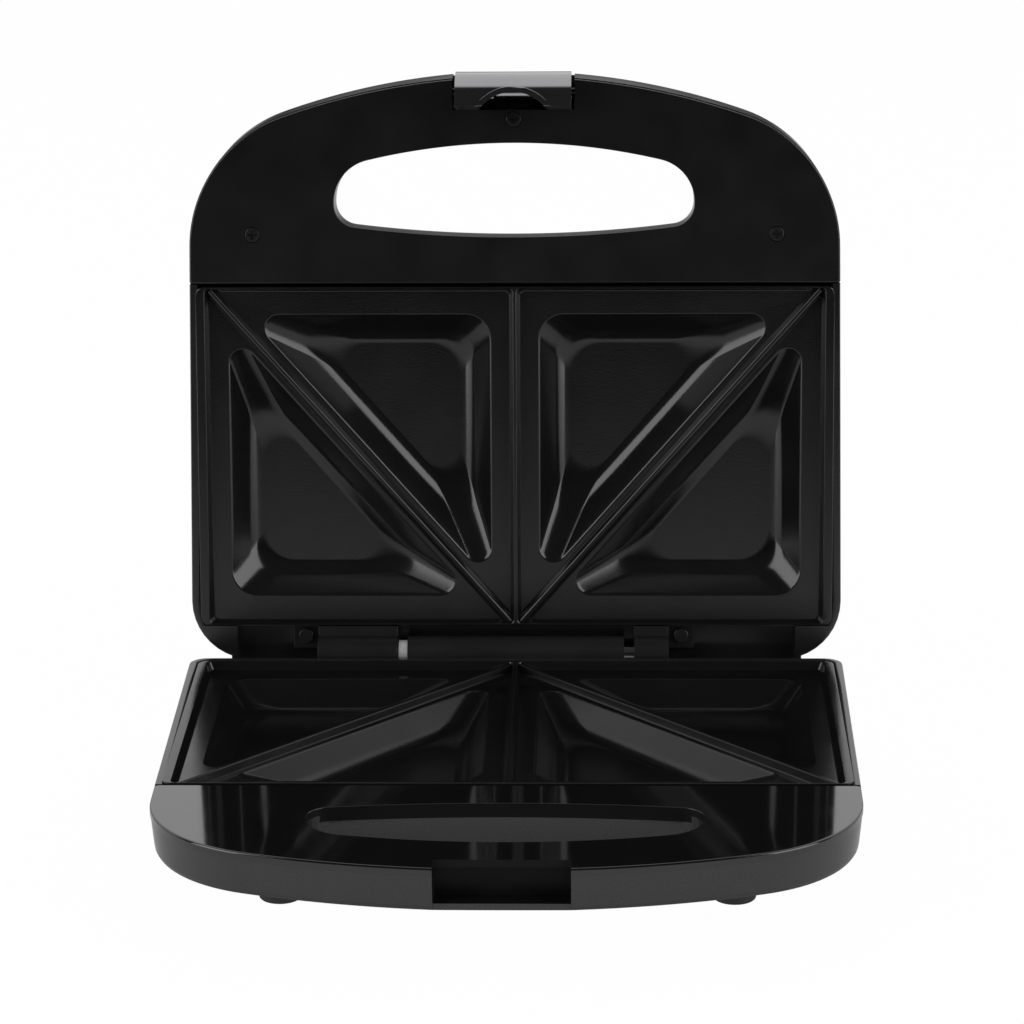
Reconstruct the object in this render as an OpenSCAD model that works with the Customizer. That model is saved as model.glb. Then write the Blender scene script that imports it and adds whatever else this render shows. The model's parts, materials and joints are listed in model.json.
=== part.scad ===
// Sandwich toaster: two moulded halves hinged at the back, each with a cast four-triangle plate.
// Both halves are drawn in one half frame: x to the right, q from the hinge axis towards the
// handle, and d from the mating plane outwards. The base and the lid then place that frame.

/* [Body outline] */
// Half width of both halves at the handle end
half_w = 112.6; // [111:0.2:118]
// How much further out each side lies at the hinge end
rear_flare = 1.4; // [0:0.2:4]
// Distance from the hinge axis to the front of the body
reach = 201.2; // [198:0.2:212]
// Radius of the front corners
corner_r = 48; // [40:1:60]
// Radius of the bowed front edge
front_r = 243; // [235:1:300]
// Wall of the moulded shells
wall = 2.2; // [1.8:0.1:2.6]
// Depth of the shells at the handle end
rim_h = 15; // [14:0.5:18]
// Inward slope of the side walls over that depth
draft = 1.4; // [0:0.2:3]
// How much further the lid's front wall leans out over that depth
lid_lean = 1.8; // [0:0.2:3]
// Rear edge of the base, from the hinge axis
base_rear = 6.2; // [6:0.1:6.6]
// Rear corner radius of the base
base_rear_r = 6; // [4:0.5:7]
// Rear edge of the lid, behind the hinge axis
lid_rear = 3; // [2:0.2:4]
// Rear edge of the lip that comes to rest on the middle barrel's heel, behind the hinge axis
lip_rear = 6.5; // [6.3:0.1:7.5]
// Rear corner radius of the lid
lid_rear_r = 21; // [18:1:24]

/* [Belly and dome] */
// Depth of the base under the plate
belly_d = 32; // [31:0.5:38]
// Inset of the belly from the side of the body, where it begins
belly_inset = 6; // [4:0.5:7]
// How far the belly tapers in
belly_taper = 8; // [4:0.5:9]
// Depth of the lid at the middle of its outer face
dome_d = 36; // [35:0.5:42]
// Height of the flat crown on the lid
crown_h = 2; // [1:0.25:3]
// How far the flat crown is set in
crown_inset = 22; // [14:1:30]
// How far the belly and the dome reach past the plate
belly_past = 8; // [7:0.5:9]
// Radius of their corners
belly_r = 18; // [10:1:22]

/* [Plates] */
// Edge of the shell that shows beside each plate
side_edge = 1.6; // [1:0.1:2.2]
// Depth of each plate, from the hinge side to the handle side
plate_l = 119.7; // [118:0.5:124]
// Hinge-side edge of each plate, from the hinge axis
plate_q = 9.2; // [9:0.1:9.8]
// Corner radius of each plate
plate_r = 3; // [2:0.5:4]
// Height of the plate's edge
flange_h = 5; // [4.5:0.1:6]
// Depth of the lip with which the plate lies over the shell's walls
lip_d = 2.4; // [2:0.1:2.8]
// Width of that lip
lip_w = 2.1; // [2:0.1:2.6]
// Depth of the flat land below the plate's rim
land_d = 3.2; // [2.6:0.1:3.4]
// Width of the rim at each side
side_rim = 4.4; // [3:0.2:6]
// Width of the rim at the hinge side and the handle side
end_rim = 1.8; // [1.2:0.1:2.4]
// Depth of the pockets below the land
pocket_d = 9; // [7:0.5:10]
// Wall of the casting round a pocket
casting = 3; // [2:0.2:3.2]
// Distance from the plate's side to the outer pocket
pocket_side = 11.7; // [10:0.1:14]
// Distance from the plate's hinge side to the outer pocket
pocket_low = 11; // [10.5:0.1:13]
// Distance from the plate's handle side to the inner pocket
pocket_high = 10.5; // [10:0.1:13]
// Distance from the middle of the plate to the inner pocket
pocket_mid = 8.8; // [7:0.1:10]
// Distance from the diagonal ridge to each pocket
pocket_gap = 4.3; // [3.6:0.1:5]
// Corner radius of the pockets at their sharp ends
pocket_tip_r = 4.5; // [3:0.5:6]
// Corner radius of the pockets at their square corner
pocket_square_r = 8.5; // [6:0.5:10]
// Inset of the pocket floor from its edge
pocket_slope = 6; // [3:0.5:7]
// Width of the divider and of the diagonal ridges at their foot
ridge_w = 4.4; // [3:0.2:5]
// Width of their crest
ridge_top = 1.4; // [0.8:0.2:2]
// How far the crest lies below the rim
ridge_drop = 0.5; // [0.3:0.1:1]
// Distance from the plate's side to the outer end of a diagonal
ridge_out = 7; // [6:0.5:8]
// Distance from the plate's handle side to the outer end of a diagonal
ridge_out_high = 3.5; // [3:0.5:5]
// Distance from the middle of the plate to the inner end of a diagonal
ridge_in = 4; // [3:0.5:5]
// Distance from the plate's hinge side to the inner end of a diagonal
ridge_in_low = 3.6; // [3:0.2:5]

/* [Handle] */
// Thickness of the handle panels
panel_t = 2.5; // [2:0.1:3]
// How far the panels' edges lie inside the body's
panel_edge = 0.1; // [0:0.1:0.6]
// Seam between plate and panel
seam = 1; // [0.6:0.1:1.4]
// Half width of the hand hole
hole_half = 62.2; // [55:0.2:66]
// Hinge-side edge of the hand hole, from the hinge axis
hole_q = 146; // [144:0.5:150]
// Radius of that bowed edge
hole_back_r = 439; // [300:1:600]
// Width of the handle bar in front of the hole
handle_bar = 22.7; // [21:0.1:25]
// Front corner radius of the hole
hole_front_r = 15; // [10:1:16]
// Rear corner radius of the hole
hole_rear_r = 8; // [5:0.5:10]
// Depth of the panel's flange in the base's hole
flange_drop = 2.2; // [1.6:0.2:6]
// Thickness of that flange
flange_t = 1.2; // [1:0.1:1.6]
// Distance of the outer panel screws from the middle
screw_x = 90.6; // [88:0.2:94]
// Distance of the outer panel screws from the hinge axis
screw_q = 147; // [144:0.5:152]
// Distance of the middle panel screw from the front
screw_front = 14.5; // [14.4:0.1:15]

/* [Latch] */
// Width of the latch
latch_w = 39.8; // [34:0.2:46]
// Clearance at each side of the latch
latch_gap = 1.1; // [0.6:0.1:1.6]
// Distance of the lid's notch wall from the front of the body
notch_depth = 11.4; // [11.2:0.1:11.6]
// Distance of the base panel's front edge from the front of the body
catch_depth = 8.2; // [7.5:0.1:9]
// Distance of the latch pivot from the front of the body
pivot_back = 5.9; // [5.7:0.1:6]
// Depth of the latch pivot
pivot_d = 9.3; // [8.8:0.1:9.6]
// Radius of the latch's boss round its pin
latch_boss_r = 5.2; // [4.6:0.1:5.3]
// How far the latch stands in front of the body
latch_proud = 1.5; // [0.5:0.1:3]
// Radius of the latch's curved front
nose_r = 18; // [17:0.5:20]
// Angle that the curve turns through, down to the lip that the thumb pulls
nose_turn = 67; // [60:0.5:68]
// Thickness of the latch's front wall
latch_t = 2.8; // [2:0.1:3.2]
// Thickness of the hook
hook_t = 2.6; // [2:0.1:3]
// Radius of the thumb cut-out
thumb_r = 14.4; // [11:0.2:16]
// Distance of the cut-out's top from the latch's front
thumb_top = 6.1; // [5:0.1:8]
// Radius of the latch pin
latch_pin_r = 1.5; // [1.2:0.1:1.8]

/* [Hinge] */
// Radius of the hinge barrels
barrel_r = 5.5; // [5:0.1:5.6]
// Radius of the hinge pin
hinge_pin_r = 2; // [1.6:0.1:2.4]
// Half length of the middle barrel
barrel_half = 38; // [30:0.5:45]
// Gap between the middle barrel and each knuckle
knuckle_gap = 3.5; // [3:0.1:5]
// Length of the left knuckle
knuckle_left = 28; // [20:0.5:32]
// Length of the right knuckle
knuckle_right = 12; // [10:0.5:32]
// Length of the screw tab beside each knuckle
tab_l = 9; // [8:0.5:12]
// Depth of the lid's recessed strip behind the barrels
strip_d = 6.5; // [6.3:0.1:7]
// Half width of that strip
strip_half = 98; // [96:1:100]
// Angle of the lid at rest, back from the closed position
lid_open = 97; // [90:1:97]

/* [Heating] */
// Radius of the heating tube
heater_r = 3.2; // [2.5:0.1:3.3]
// Half distance between the legs of the heating tube
heater_half = 27; // [20:1:32]
// Distance of the tube's bend from the plate's side
bend_inset = 51; // [50:1:60]
// Distance of the tube's ends from the plate's side
end_inset = 27; // [26:1:36]
// Length of the bare pins at the tube's ends
pin_l = 6; // [4:0.5:8]
// Thickness of the reflector
reflector_t = 0.8; // [0.5:0.1:1]
// Distance of the reflector from the plate's side
reflector_inset = 17; // [16:0.5:20]
// Height of the reflector's edge
reflector_h = 3.6; // [2.5:0.1:4]

/* [Feet] */
// Height of the mating plane above the table
mate_z = 36; // [36:0.5:42]
// Radius of the rubber feet
foot_r = 7; // [5:0.5:8]
// Distance of the front feet from the middle
foot_x = 72.5; // [60:0.5:76]
// Distance of the front feet from the hinge axis
foot_front = 136.5; // [134.5:0.5:138]
// Distance of the rear feet from the hinge axis
foot_rear = 26; // [25:0.5:32]
// Radius of the feet's stems
stem_r = 3; // [2:0.5:3.5]

/* [Fits] */
// Gap between the closed halves
mate_gap = 0.3; // [0.3:0.05:0.6]
// Running clearance of the pins, on the radius
run_fit = 0.08; // [0.04:0.01:0.1]
// Clearance of fixed pieces in their seats
seat_fit = 0.05; // [0.03:0.01:0.1]
// Gap where the lid comes to rest
stop_gap = 0.3; // [0.2:0.05:0.5]
// Radius of the screws
screw_r = 1.5; // [1.2:0.1:1.6]
// Radius of the screw heads
head_r = 2.6; // [2.2:0.1:2.7]
// Height of the screw heads
head_h = 1.7; // [1.2:0.1:1.8]

/* [Hidden] */
$fn = 48;

slice = 0.01;
far = 400;
rim_d = mate_gap / 2;

// Outline of the body: corner circles tangent to the bowed front
half_w_rear = half_w + rear_flare;
corner_x = half_w - corner_r;
arc_q = reach - front_r;
front_tilt = asin(corner_x / (front_r - corner_r));
corner_q = arc_q + (front_r - corner_r) * cos(front_tilt);

// Hand hole
hole_arc_r = front_r - handle_bar;
hole_front_x = hole_half - hole_front_r;
hole_front_tilt = asin(hole_front_x / (hole_arc_r - hole_front_r));
hole_front_q = arc_q + (hole_arc_r - hole_front_r) * cos(hole_front_tilt);
hole_rear_x = hole_half - hole_rear_r;
hole_rear_tilt = asin(hole_rear_x / (hole_back_r - hole_rear_r));
hole_back_q = hole_q + hole_back_r;
hole_rear_q = hole_back_q - (hole_back_r - hole_rear_r) * cos(hole_rear_tilt);

// Plate
plate_half = half_w - side_edge;
plate_end = plate_q + plate_l;
ridge_x0 = ridge_out - plate_half;
ridge_p0 = plate_l - ridge_out_high;
ridge_slope = (ridge_in_low - ridge_p0) / (-ridge_in - ridge_x0);
ridge_lean = sqrt(1 + ridge_slope * ridge_slope);
pocket_floor = land_d + pocket_d;
casting_d = pocket_floor + casting;
post_x = plate_half - 53;
post_low = plate_q + 3.8;
post_high = plate_end - 3.5;
post_r = 3.4;
stud_r = 2.2;
stud_l = 10;

// Handle
panel_q = plate_end + seam;
panel_top = rim_d + 0.15;
panel_d = panel_top + panel_t;
boss_r = 4;
boss_d = panel_d + 4.2;
middle_screw_q = reach - screw_front;
screw_shift = 2.55;

// Belly and dome
belly_low = base_rear + 2.8;
belly_high = plate_end + belly_past;
dome_low = 2.5 - lid_rear;
shoulder_d = dome_d - crown_h;
lid_edge_inset = 10;
lamp_x = 11;
lamp_q = plate_end - 31;
lamp_r = 4;
lamp_flange = 1;
lamp_rim = 1.6;
holder_past = 7;
holder_half = 6;
holder_t = 2;
leg_t = 2;
lid_step_d = shoulder_d - 5;

// Latch
latch_half = latch_w / 2;
notch_half = latch_half + latch_gap;
notch_q = reach - notch_depth;
catch_q = reach - catch_depth;
pivot_q = reach - pivot_back;
latch_front = reach + latch_proud;
hook_top = panel_d + 0.35;
hook_q = notch_q + 0.5;
ledge_q = reach - 3.7;
nose_q = latch_front - nose_r;
nose_d = pivot_d - 5;
spring_half = 6.4;

// Hinge
hinge_pin_left = barrel_half + knuckle_gap + knuckle_left;
hinge_pin_right = barrel_half + knuckle_gap + knuckle_right;
knuckle_web_q = plate_q - 0.2;
tab_t = 2.6;
tab_screw_q = 5.2;
tab_low = 0.6;
tab_bite = 5;
heel_d0 = barrel_r;
heel_d1 = 9.6;
heel_reach = strip_d * sin(lid_open) + lip_rear * cos(lid_open) - stop_gap;
block_d = 12;
block_screw_x = 25;
block_screw_d = 9;

// Heating
heater_bend = plate_half - bend_inset;
heater_end = plate_half - end_inset;
heater_d = casting_d + 0.3 + heater_r;
heater_q = plate_q + plate_l / 2;
reflector_d = heater_d + heater_r + 1.5;
reflector_half = plate_half - reflector_inset;
reflector_low = post_low + post_r + 3.6;
reflector_high = post_high - post_r - 1;
reflector_back = reflector_d + reflector_t;
reflector_r = 6;
thermostat_x = -40;
lead_r = 1.1;
lead_x = heater_end + pin_l + lead_r + 0.2;

// Feet and inlet
block_pitch = 10;
block_x0 = half_w_rear - 51;
block_x1 = block_x0 + 3 * block_pitch;
block_half = 3.7;
block_q = base_rear + wall + block_half + 0.9;
block_top = rim_h - wall - 0.1;
gland_x = half_w_rear - 32;
gland_d = 20;
gland_bore_r = 3.5;

// Place of the hinge axis: the open toaster's box is centred on the origin
lid_back = max((plate_end - 6) * -cos(lid_open) + shoulder_d * sin(lid_open),
               (plate_end - crown_inset) * -cos(lid_open) + dome_d * sin(lid_open));
front_q = arc_q + sqrt(pow(front_r - panel_edge, 2) - notch_half * notch_half);
hinge_y = (front_q - lid_back) / 2;

plastic = [0.07, 0.07, 0.08];
gloss = [0.03, 0.03, 0.035];
casting_grey = [0.16, 0.16, 0.17];
steel = [0.72, 0.73, 0.75];
rubber = [0.12, 0.12, 0.12];
silver = [0.6, 0.6, 0.62];

// Points along an arc
function arc(centre, r, from, to, steps) =
    [for (i = [0 : steps]) let (a = from + (to - from) * i / steps) centre + r * [cos(a), sin(a)]];

// Outline of the body, set in, with its rear edge at rear_q and its front moved out by lean
function body_outline(inset, rear_q, rear_r, lean = 0) =
    let (rear_x = half_w_rear - rear_r, rear_c = rear_q + rear_r)
    concat(
        arc([corner_x, corner_q + lean], corner_r - inset, 0, 90 - front_tilt, 14),
        arc([0, arc_q + lean], front_r - inset, 90 - front_tilt, 90 + front_tilt, 24),
        arc([-corner_x, corner_q + lean], corner_r - inset, 90 + front_tilt, 180, 14),
        arc([-rear_x, rear_c], rear_r - inset, 180, 270, 8),
        arc([rear_x, rear_c], rear_r - inset, 270, 360, 8));

// Outline of the hand hole, grown outwards
function hole_outline(grow) = concat(
    arc([hole_front_x, hole_front_q], hole_front_r + grow, 0, 90 - hole_front_tilt, 10),
    arc([0, arc_q], hole_arc_r + grow, 90 - hole_front_tilt, 90 + hole_front_tilt, 16),
    arc([-hole_front_x, hole_front_q], hole_front_r + grow, 90 + hole_front_tilt, 180, 10),
    arc([-hole_rear_x, hole_rear_q], hole_rear_r + grow, 180, 270 - hole_rear_tilt, 8),
    arc([0, hole_back_q], hole_back_r + grow, 270 - hole_rear_tilt, 270 + hole_rear_tilt, 12),
    arc([hole_rear_x, hole_rear_q], hole_rear_r + grow, 270 + hole_rear_tilt, 360, 8));

// Rectangle with round corners, as points
function round_box(half, low, high, r) = concat(
    arc([half - r, high - r], r, 0, 90, 6),
    arc([r - half, high - r], r, 90, 180, 6),
    arc([r - half, low + r], r, 180, 270, 6),
    arc([half - r, low + r], r, 270, 360, 6));

// Arc that rounds the corner b of a polygon, between its neighbours a and c
function round_corner(a, b, c, r, steps) =
    let (u = (a - b) / norm(a - b), w = (c - b) / norm(c - b), half = acos(u * w) / 2,
         centre = b + (u + w) / norm(u + w) * r / sin(half), start = b + u * r / tan(half) - centre,
         from = atan2(start.y, start.x), turn = sign(cross(b - a, c - b)) * (180 - 2 * half))
    arc(centre, r, from, from + turn, steps);

function round_polygon(pts, radii, steps) =
    let (n = len(pts))
    [for (i = [0 : n - 1]) each round_corner(pts[(i + n - 1) % n], pts[i], pts[(i + 1) % n], radii[i], steps)];

// Lines parallel to the diagonal of the left half, off to its handle side
function diagonal_p(x, off) = ridge_p0 + ridge_slope * (x - ridge_x0) + off * ridge_lean;
function diagonal_x(p, off) = ridge_x0 + (p - off * ridge_lean - ridge_p0) / ridge_slope;

// Corners of the two pockets in the left half of a plate, set in
function outer_pocket(inset) =
    let (x = pocket_side - plate_half + inset, p = pocket_low + inset, off = -pocket_gap - inset)
    [[x, p], [diagonal_x(p, off), p], [x, diagonal_p(x, off)]];
function inner_pocket(inset) =
    let (x = -pocket_mid - inset, p = plate_l - pocket_high - inset, off = pocket_gap + inset)
    [[x, p], [diagonal_x(p, off), p], [x, diagonal_p(x, off)]];
function pocket(pts, grow) =
    round_polygon(pts, [pocket_square_r, pocket_tip_r, pocket_tip_r] + [grow, grow, grow], 5);

module slab(pts, from, to) translate([0, 0, from]) linear_extrude(to - from) polygon(pts);
module layer(pts, d) slab(pts, d, d + slice);
module along_x(from, to) translate([from, 0, 0]) rotate([90, 0, 90]) linear_extrude(to - from) children();
module rod_x(from, to, q, d, r) translate([from, q, d]) rotate([0, 90, 0]) cylinder(h = to - from, r = r);
module rod_q(x, from, to, d, r) translate([x, from, d]) rotate([-90, 0, 0]) cylinder(h = to - from, r = r);
module rod_d(x, q, from, to, r) translate([x, q, from]) cylinder(h = to - from, r = r);
module box(x0, x1, q0, q1, d0, d1) translate([x0, q0, d0]) cube([x1 - x0, q1 - q0, d1 - d0]);
module both() {
    children();
    mirror([1, 0, 0]) children();
}

// The half frame in its place, turned over for the base and tipped back for the lid
module as_base() translate([0, hinge_y, mate_z]) rotate([180, 0, 0]) children();
module as_lid() translate([0, hinge_y, mate_z]) rotate([-lid_open, 0, 0]) mirror([0, 1, 0]) children();

// Side walls and floor of a shell at the handle end; the rear wall stays upright
module rim_form(inset, rear_q, rear_r, from, to, lean = 0) hull() {
    layer(body_outline(inset, rear_q, rear_r), from);
    layer(body_outline(inset + draft, rear_q - draft, rear_r + draft, lean), to - slice);
}

module belly_form(inset, from, to) hull() {
    layer(round_box(half_w_rear - belly_inset - inset, belly_low + inset, belly_high - inset, belly_r), from);
    layer(round_box(half_w_rear - belly_inset - belly_taper - inset, belly_low + belly_taper / 2 + inset,
                    belly_high - belly_taper / 2 - inset, belly_r), to - slice);
}

module dome_form(inset, from) hull() {
    layer(round_box(half_w - 4 - inset, dome_low + inset, belly_high - inset, belly_r), from);
    layer(round_box(half_w - lid_edge_inset - inset, dome_low + 6 + inset, belly_high - 5 - inset, belly_r),
          lid_step_d - inset);
    layer(round_box(half_w - crown_inset + 2 - inset, dome_low + 15 + inset, plate_end - 6 - inset, belly_r),
          shoulder_d - inset - slice);
    layer(round_box(half_w - 2 * crown_inset - inset, dome_low + 2 * crown_inset + inset,
                    plate_end - crown_inset - inset, belly_r), dome_d - inset - slice);
}

// Wall round the hand hole
module hole_wall() slab(hole_outline(wall), panel_d + seat_fit, rim_h - wall / 2);
module hole_cut() slab(hole_outline(0), -1, far);

// Walls round the latch's recess, inside the given form of the shell
module recess_wall() intersection() {
    children();
    box(-notch_half - wall, notch_half + wall, notch_q - wall, far, 0, rim_h - wall / 2);
}

// Room for a panel, which lies over the walls of its shell
module panel_seat() box(-far, far, panel_q - seat_fit, far, -1, panel_d + seat_fit);

// Rebate in the side walls, under the lip of a plate
module lip_seat() slab(round_box(plate_half + seat_fit, plate_q, plate_end + seam, plate_r), -1, lip_d + seat_fit);

module plate_posts(to) for (x = [-post_x, post_x], q = [post_low, post_high])
    rod_d(x, q, flange_h + seat_fit, to, post_r);

module screw(x, q, head_from, head_to, tip) {
    rod_d(x, q, min(head_from, head_to), max(head_from, head_to), head_r);
    rod_d(x, q, min(head_from, tip), max(head_from, tip), screw_r);
}

module base_shell() color(plastic) as_base() difference() {
    union() {
        difference() {
            union() {
                rim_form(0, base_rear, base_rear_r, rim_d, rim_h);
                belly_form(0, rim_h - 1, belly_d);
            }
            rim_form(wall, base_rear, base_rear_r, rim_d - 1, rim_h - wall);
            belly_form(wall, rim_h - wall - 1, belly_d - wall);
        }
        hole_wall();
        recess_wall() rim_form(wall / 2, base_rear, base_rear_r, rim_d, rim_h);
        plate_posts(belly_d - wall / 2);
        for (x = [-screw_x, screw_x]) rod_d(x, screw_q, boss_d + seat_fit, rim_h - wall / 2, boss_r);
        rod_d(0, middle_screw_q - screw_shift, boss_d + seat_fit, rim_h - wall / 2, boss_r);
        for (x = [-foot_x, foot_x]) rod_d(x, foot_front, rim_h - wall, belly_d - slice, foot_r - 0.7);
        for (x = [-1, 1], q = [reflector_low + 14, reflector_high - 14])
            rod_d(x * (reflector_half - 14), q, reflector_back, belly_d - wall / 2, 3);
    }
    lip_seat();
    panel_seat();
    hole_cut();
    slab(hole_flange_outline(flange_t + seat_fit), -1, panel_d + flange_drop + seat_fit);
    box(-notch_half, notch_half, notch_q, far, -1, rim_h - wall);
    box(-notch_half, notch_half, ledge_q, far, -1, far);
    for (x = [-post_x, post_x], q = [post_low, post_high]) {
        rod_d(x, q, 0, flange_h + stud_l + 0.3, stud_r + seat_fit);
        rod_d(x, q, 0, far, screw_r + seat_fit);
        rod_d(x, q, belly_d - head_h - 0.3, far, head_r + 0.2);
    }
    for (s = panel_places(screw_shift)) {
        rod_d(s.x, s.y, 0, far, screw_r + seat_fit);
        rod_d(s.x, s.y, rim_h - head_h - 0.3, far, head_r + 0.2);
    }
    for (x = [-foot_x, foot_x]) {
        rod_d(x, foot_front, rim_h + 5, far, stem_r + seat_fit);
        rod_d(x, foot_rear, belly_d - wall - 3, far, stem_r + seat_fit);
    }
    for (x = [-block_screw_x, block_screw_x]) rod_q(x, 0, 12, block_screw_d, screw_r + seat_fit);
    rod_q(gland_x, 0, 14, gland_d, gland_bore_r + 2 + seat_fit);
}

// Back edge of the hand hole, where the panel's flange stands
function hole_flange_outline(grow) =
    let (a = arc([0, hole_back_q], hole_back_r + grow, 270 - hole_rear_tilt, 270 + hole_rear_tilt, 12))
    concat(a, [[a[12].x, hole_q + 6], [a[0].x, hole_q + 6]]);

// Places of the panel screws; the middle one moves towards the hinge by shift
function panel_places(shift) = [[-screw_x, screw_q], [screw_x, screw_q], [0, middle_screw_q - shift]];

// Flat panel of a handle, with its edge at front_q where the latch goes
module panel(front_q) difference() {
    intersection() {
        slab(body_outline(panel_edge, 0, base_rear_r), panel_top, panel_d);
        box(-far, far, panel_q, far, -1, far);
    }
    hole_cut();
    box(-notch_half, notch_half, front_q, far, -1, far);
}

module base_panel() color(gloss) as_base() {
    panel(catch_q);
    difference() {
        slab(hole_flange_outline(flange_t), panel_d - slice, panel_d + flange_drop);
        hole_cut();
    }
    for (s = panel_places(screw_shift)) difference() {
        rod_d(s.x, s.y, panel_d - slice, boss_d, boss_r - 0.7);
        rod_d(s.x, s.y, panel_d + 0.4, far, screw_r + seat_fit);
    }
}

module lid_panel() color(gloss) as_lid() difference() {
    panel(notch_q);
    for (s = panel_places(0)) {
        rod_d(s.x, s.y, 0, far, screw_r + seat_fit);
        rod_d(s.x, s.y, 0, panel_top + head_h, head_r + 0.15);
    }
}

// Cast plate: rim, land, ridges and four pockets, with studs under its four corners
module plate() color(casting_grey) {
    difference() {
        union() {
            difference() {
                union() {
                    slab(round_box(plate_half, plate_q, plate_end, plate_r), rim_d, lip_d);
                    slab(round_box(plate_half - lip_w, plate_q, plate_end, plate_r), lip_d - slice, flange_h);
                }
                both() box(ridge_top / 2, plate_half - side_rim, plate_q + end_rim, plate_end - end_rim,
                           0, land_d);
            }
            translate([0, plate_q, 0]) both() {
                slab(pocket(outer_pocket(-casting), casting), land_d, casting_d);
                slab(pocket(inner_pocket(-casting), casting), land_d, casting_d);
            }
        }
        translate([0, plate_q, 0]) both() {
            pocket_cavity(outer_pocket(0), outer_pocket(pocket_slope / 3), outer_pocket(pocket_slope));
            pocket_cavity(inner_pocket(0), inner_pocket(pocket_slope / 3), inner_pocket(pocket_slope));
        }
    }
    intersection() {
        both() diagonal_ridge();
        box(-plate_half + side_rim / 2, plate_half - side_rim / 2, plate_q + end_rim / 2, plate_end - end_rim / 2,
            0, flange_h);
    }
    for (x = [-post_x, post_x], q = [post_low, post_high]) rod_d(x, q, flange_h - 1, flange_h + stud_l, stud_r);
}

module pocket_cavity(edge, middle, bottom) hull() {
    layer(pocket(edge, 0), land_d - 1);
    layer(pocket(edge, 0), land_d);
    layer(pocket(middle, 0), land_d + pocket_d * 0.6);
    layer(pocket(bottom, 0), pocket_floor - slice);
}

module diagonal_ridge() {
    length = norm([ridge_x0 + ridge_in, ridge_p0 - ridge_in_low]) + 6;
    translate([ridge_x0, ridge_p0 + plate_q, 0]) rotate([0, 0, atan(ridge_slope)]) along_x(-3, length - 3)
        polygon([[-ridge_w / 2, land_d + slice], [-ridge_top / 2, rim_d + ridge_drop],
                 [ridge_top / 2, rim_d + ridge_drop], [ridge_w / 2, land_d + slice]]);
}

module base_plate() as_base() plate();
module lid_plate() as_lid() plate();

// Heating tube: two legs, a half turn and two bare ends
module heater() color(steel) {
    for (s = [-1, 1]) {
        rod_x(-heater_bend, heater_end, heater_q + s * heater_half, heater_d, heater_r);
        rod_x(heater_end - 1, heater_end + pin_l, heater_q + s * heater_half, heater_d, 1.2);
    }
    translate([-heater_bend, heater_q, heater_d]) rotate([0, 0, 90]) rotate_extrude(angle = 180)
        translate([heater_half, 0]) circle(r = heater_r);
}

module base_heater() as_base() heater();
module lid_heater() as_lid() heater();

// Sheet tray that throws the heat back
module reflector() color(steel) difference() {
    slab(round_box(reflector_half, reflector_low, reflector_high, reflector_r),
         reflector_back - reflector_h, reflector_back);
    slab(round_box(reflector_half - reflector_t, reflector_low + reflector_t, reflector_high - reflector_t,
                   reflector_r - reflector_t), 0, reflector_d);
}

module base_reflector() as_base() reflector();
module lid_reflector() as_lid() reflector();

module thermostat() color([0.75, 0.7, 0.6]) as_base() {
    rod_d(thermostat_x, heater_q, casting_d, reflector_d - 2.6, 9);
    rod_d(thermostat_x, heater_q, reflector_d - 2.6, reflector_d - 1.2, 6);
    for (s = [-3, 3]) box(thermostat_x - 1, thermostat_x + 1, heater_q + s - 0.4, heater_q + s + 0.4,
                          reflector_d - 1.2, reflector_d - 0.4);
}

module thermal_fuse() color([0.85, 0.83, 0.78]) as_base() {
    rod_x(10, 26, heater_q, casting_d + 2.5, 2.5);
    rod_x(6, 30, heater_q, casting_d + 2.5, 0.6);
    box(14, 22, heater_q - 4.5, heater_q + 4.5, casting_d, casting_d + 1);
}

module terminal_block() color([0.85, 0.84, 0.8]) as_base() difference() {
    box(block_x0, block_x1, block_q - block_half, block_q + block_half, flange_h + 2, block_top);
    for (i = [0 : 2]) rod_d(block_x0 + block_pitch * (i + 0.5), block_q, 0, far, block_half - 1.7);
}

// Round lead through the given points, with a mitred ring at each
module lead(points, r, sides = 8) {
    last = len(points) - 1;
    rings = [for (i = [0 : last])
        let (way = points[min(i + 1, last)] - points[max(i - 1, 0)], t = way / norm(way),
             u = cross(t, [0.3, 0.4, 0.87]), w = cross(t, u / norm(u)))
        [for (k = [0 : sides - 1]) points[i] + r * (cos(360 * k / sides) * u / norm(u) + sin(360 * k / sides) * w)]];
    polyhedron([for (ring = rings) each ring], concat(
        [[for (k = [0 : sides - 1]) k]],
        [for (i = [0 : last - 1], k = [0 : sides - 1]) let (next = (k + 1) % sides)
            each [[i * sides + k, (i + 1) * sides + k, (i + 1) * sides + next],
                  [i * sides + k, (i + 1) * sides + next, i * sides + next]]],
        [[for (k = [sides - 1 : -1 : 0]) last * sides + k]]));
}

// Both wirings start at the pins of the tube; the far lead passes behind the near one
module base_wiring() color([0.8, 0.78, 0.72]) as_base() {
    near = heater_q - heater_half;
    lead([[block_x0 + 0.5 * block_pitch, block_q, block_top], [block_x0 + 0.7 * block_pitch, block_q + 3, heater_d - 0.5],
          [lead_x, near - 8, heater_d], [lead_x, near, heater_d]], lead_r);
    lead([[block_x1 - 0.5 * block_pitch, block_q, block_top], [block_x1 - 0.5 * block_pitch, block_q + 2, heater_d - 1],
          [lead_x - 2.3, reflector_low + 2.5, heater_d + 0.2], [lead_x, reflector_low + 10, heater_d + 2.5],
          [lead_x, near + 2 * heater_half - 11, heater_d + 2.5], [lead_x, near + 2 * heater_half, heater_d]], lead_r);
}

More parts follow.
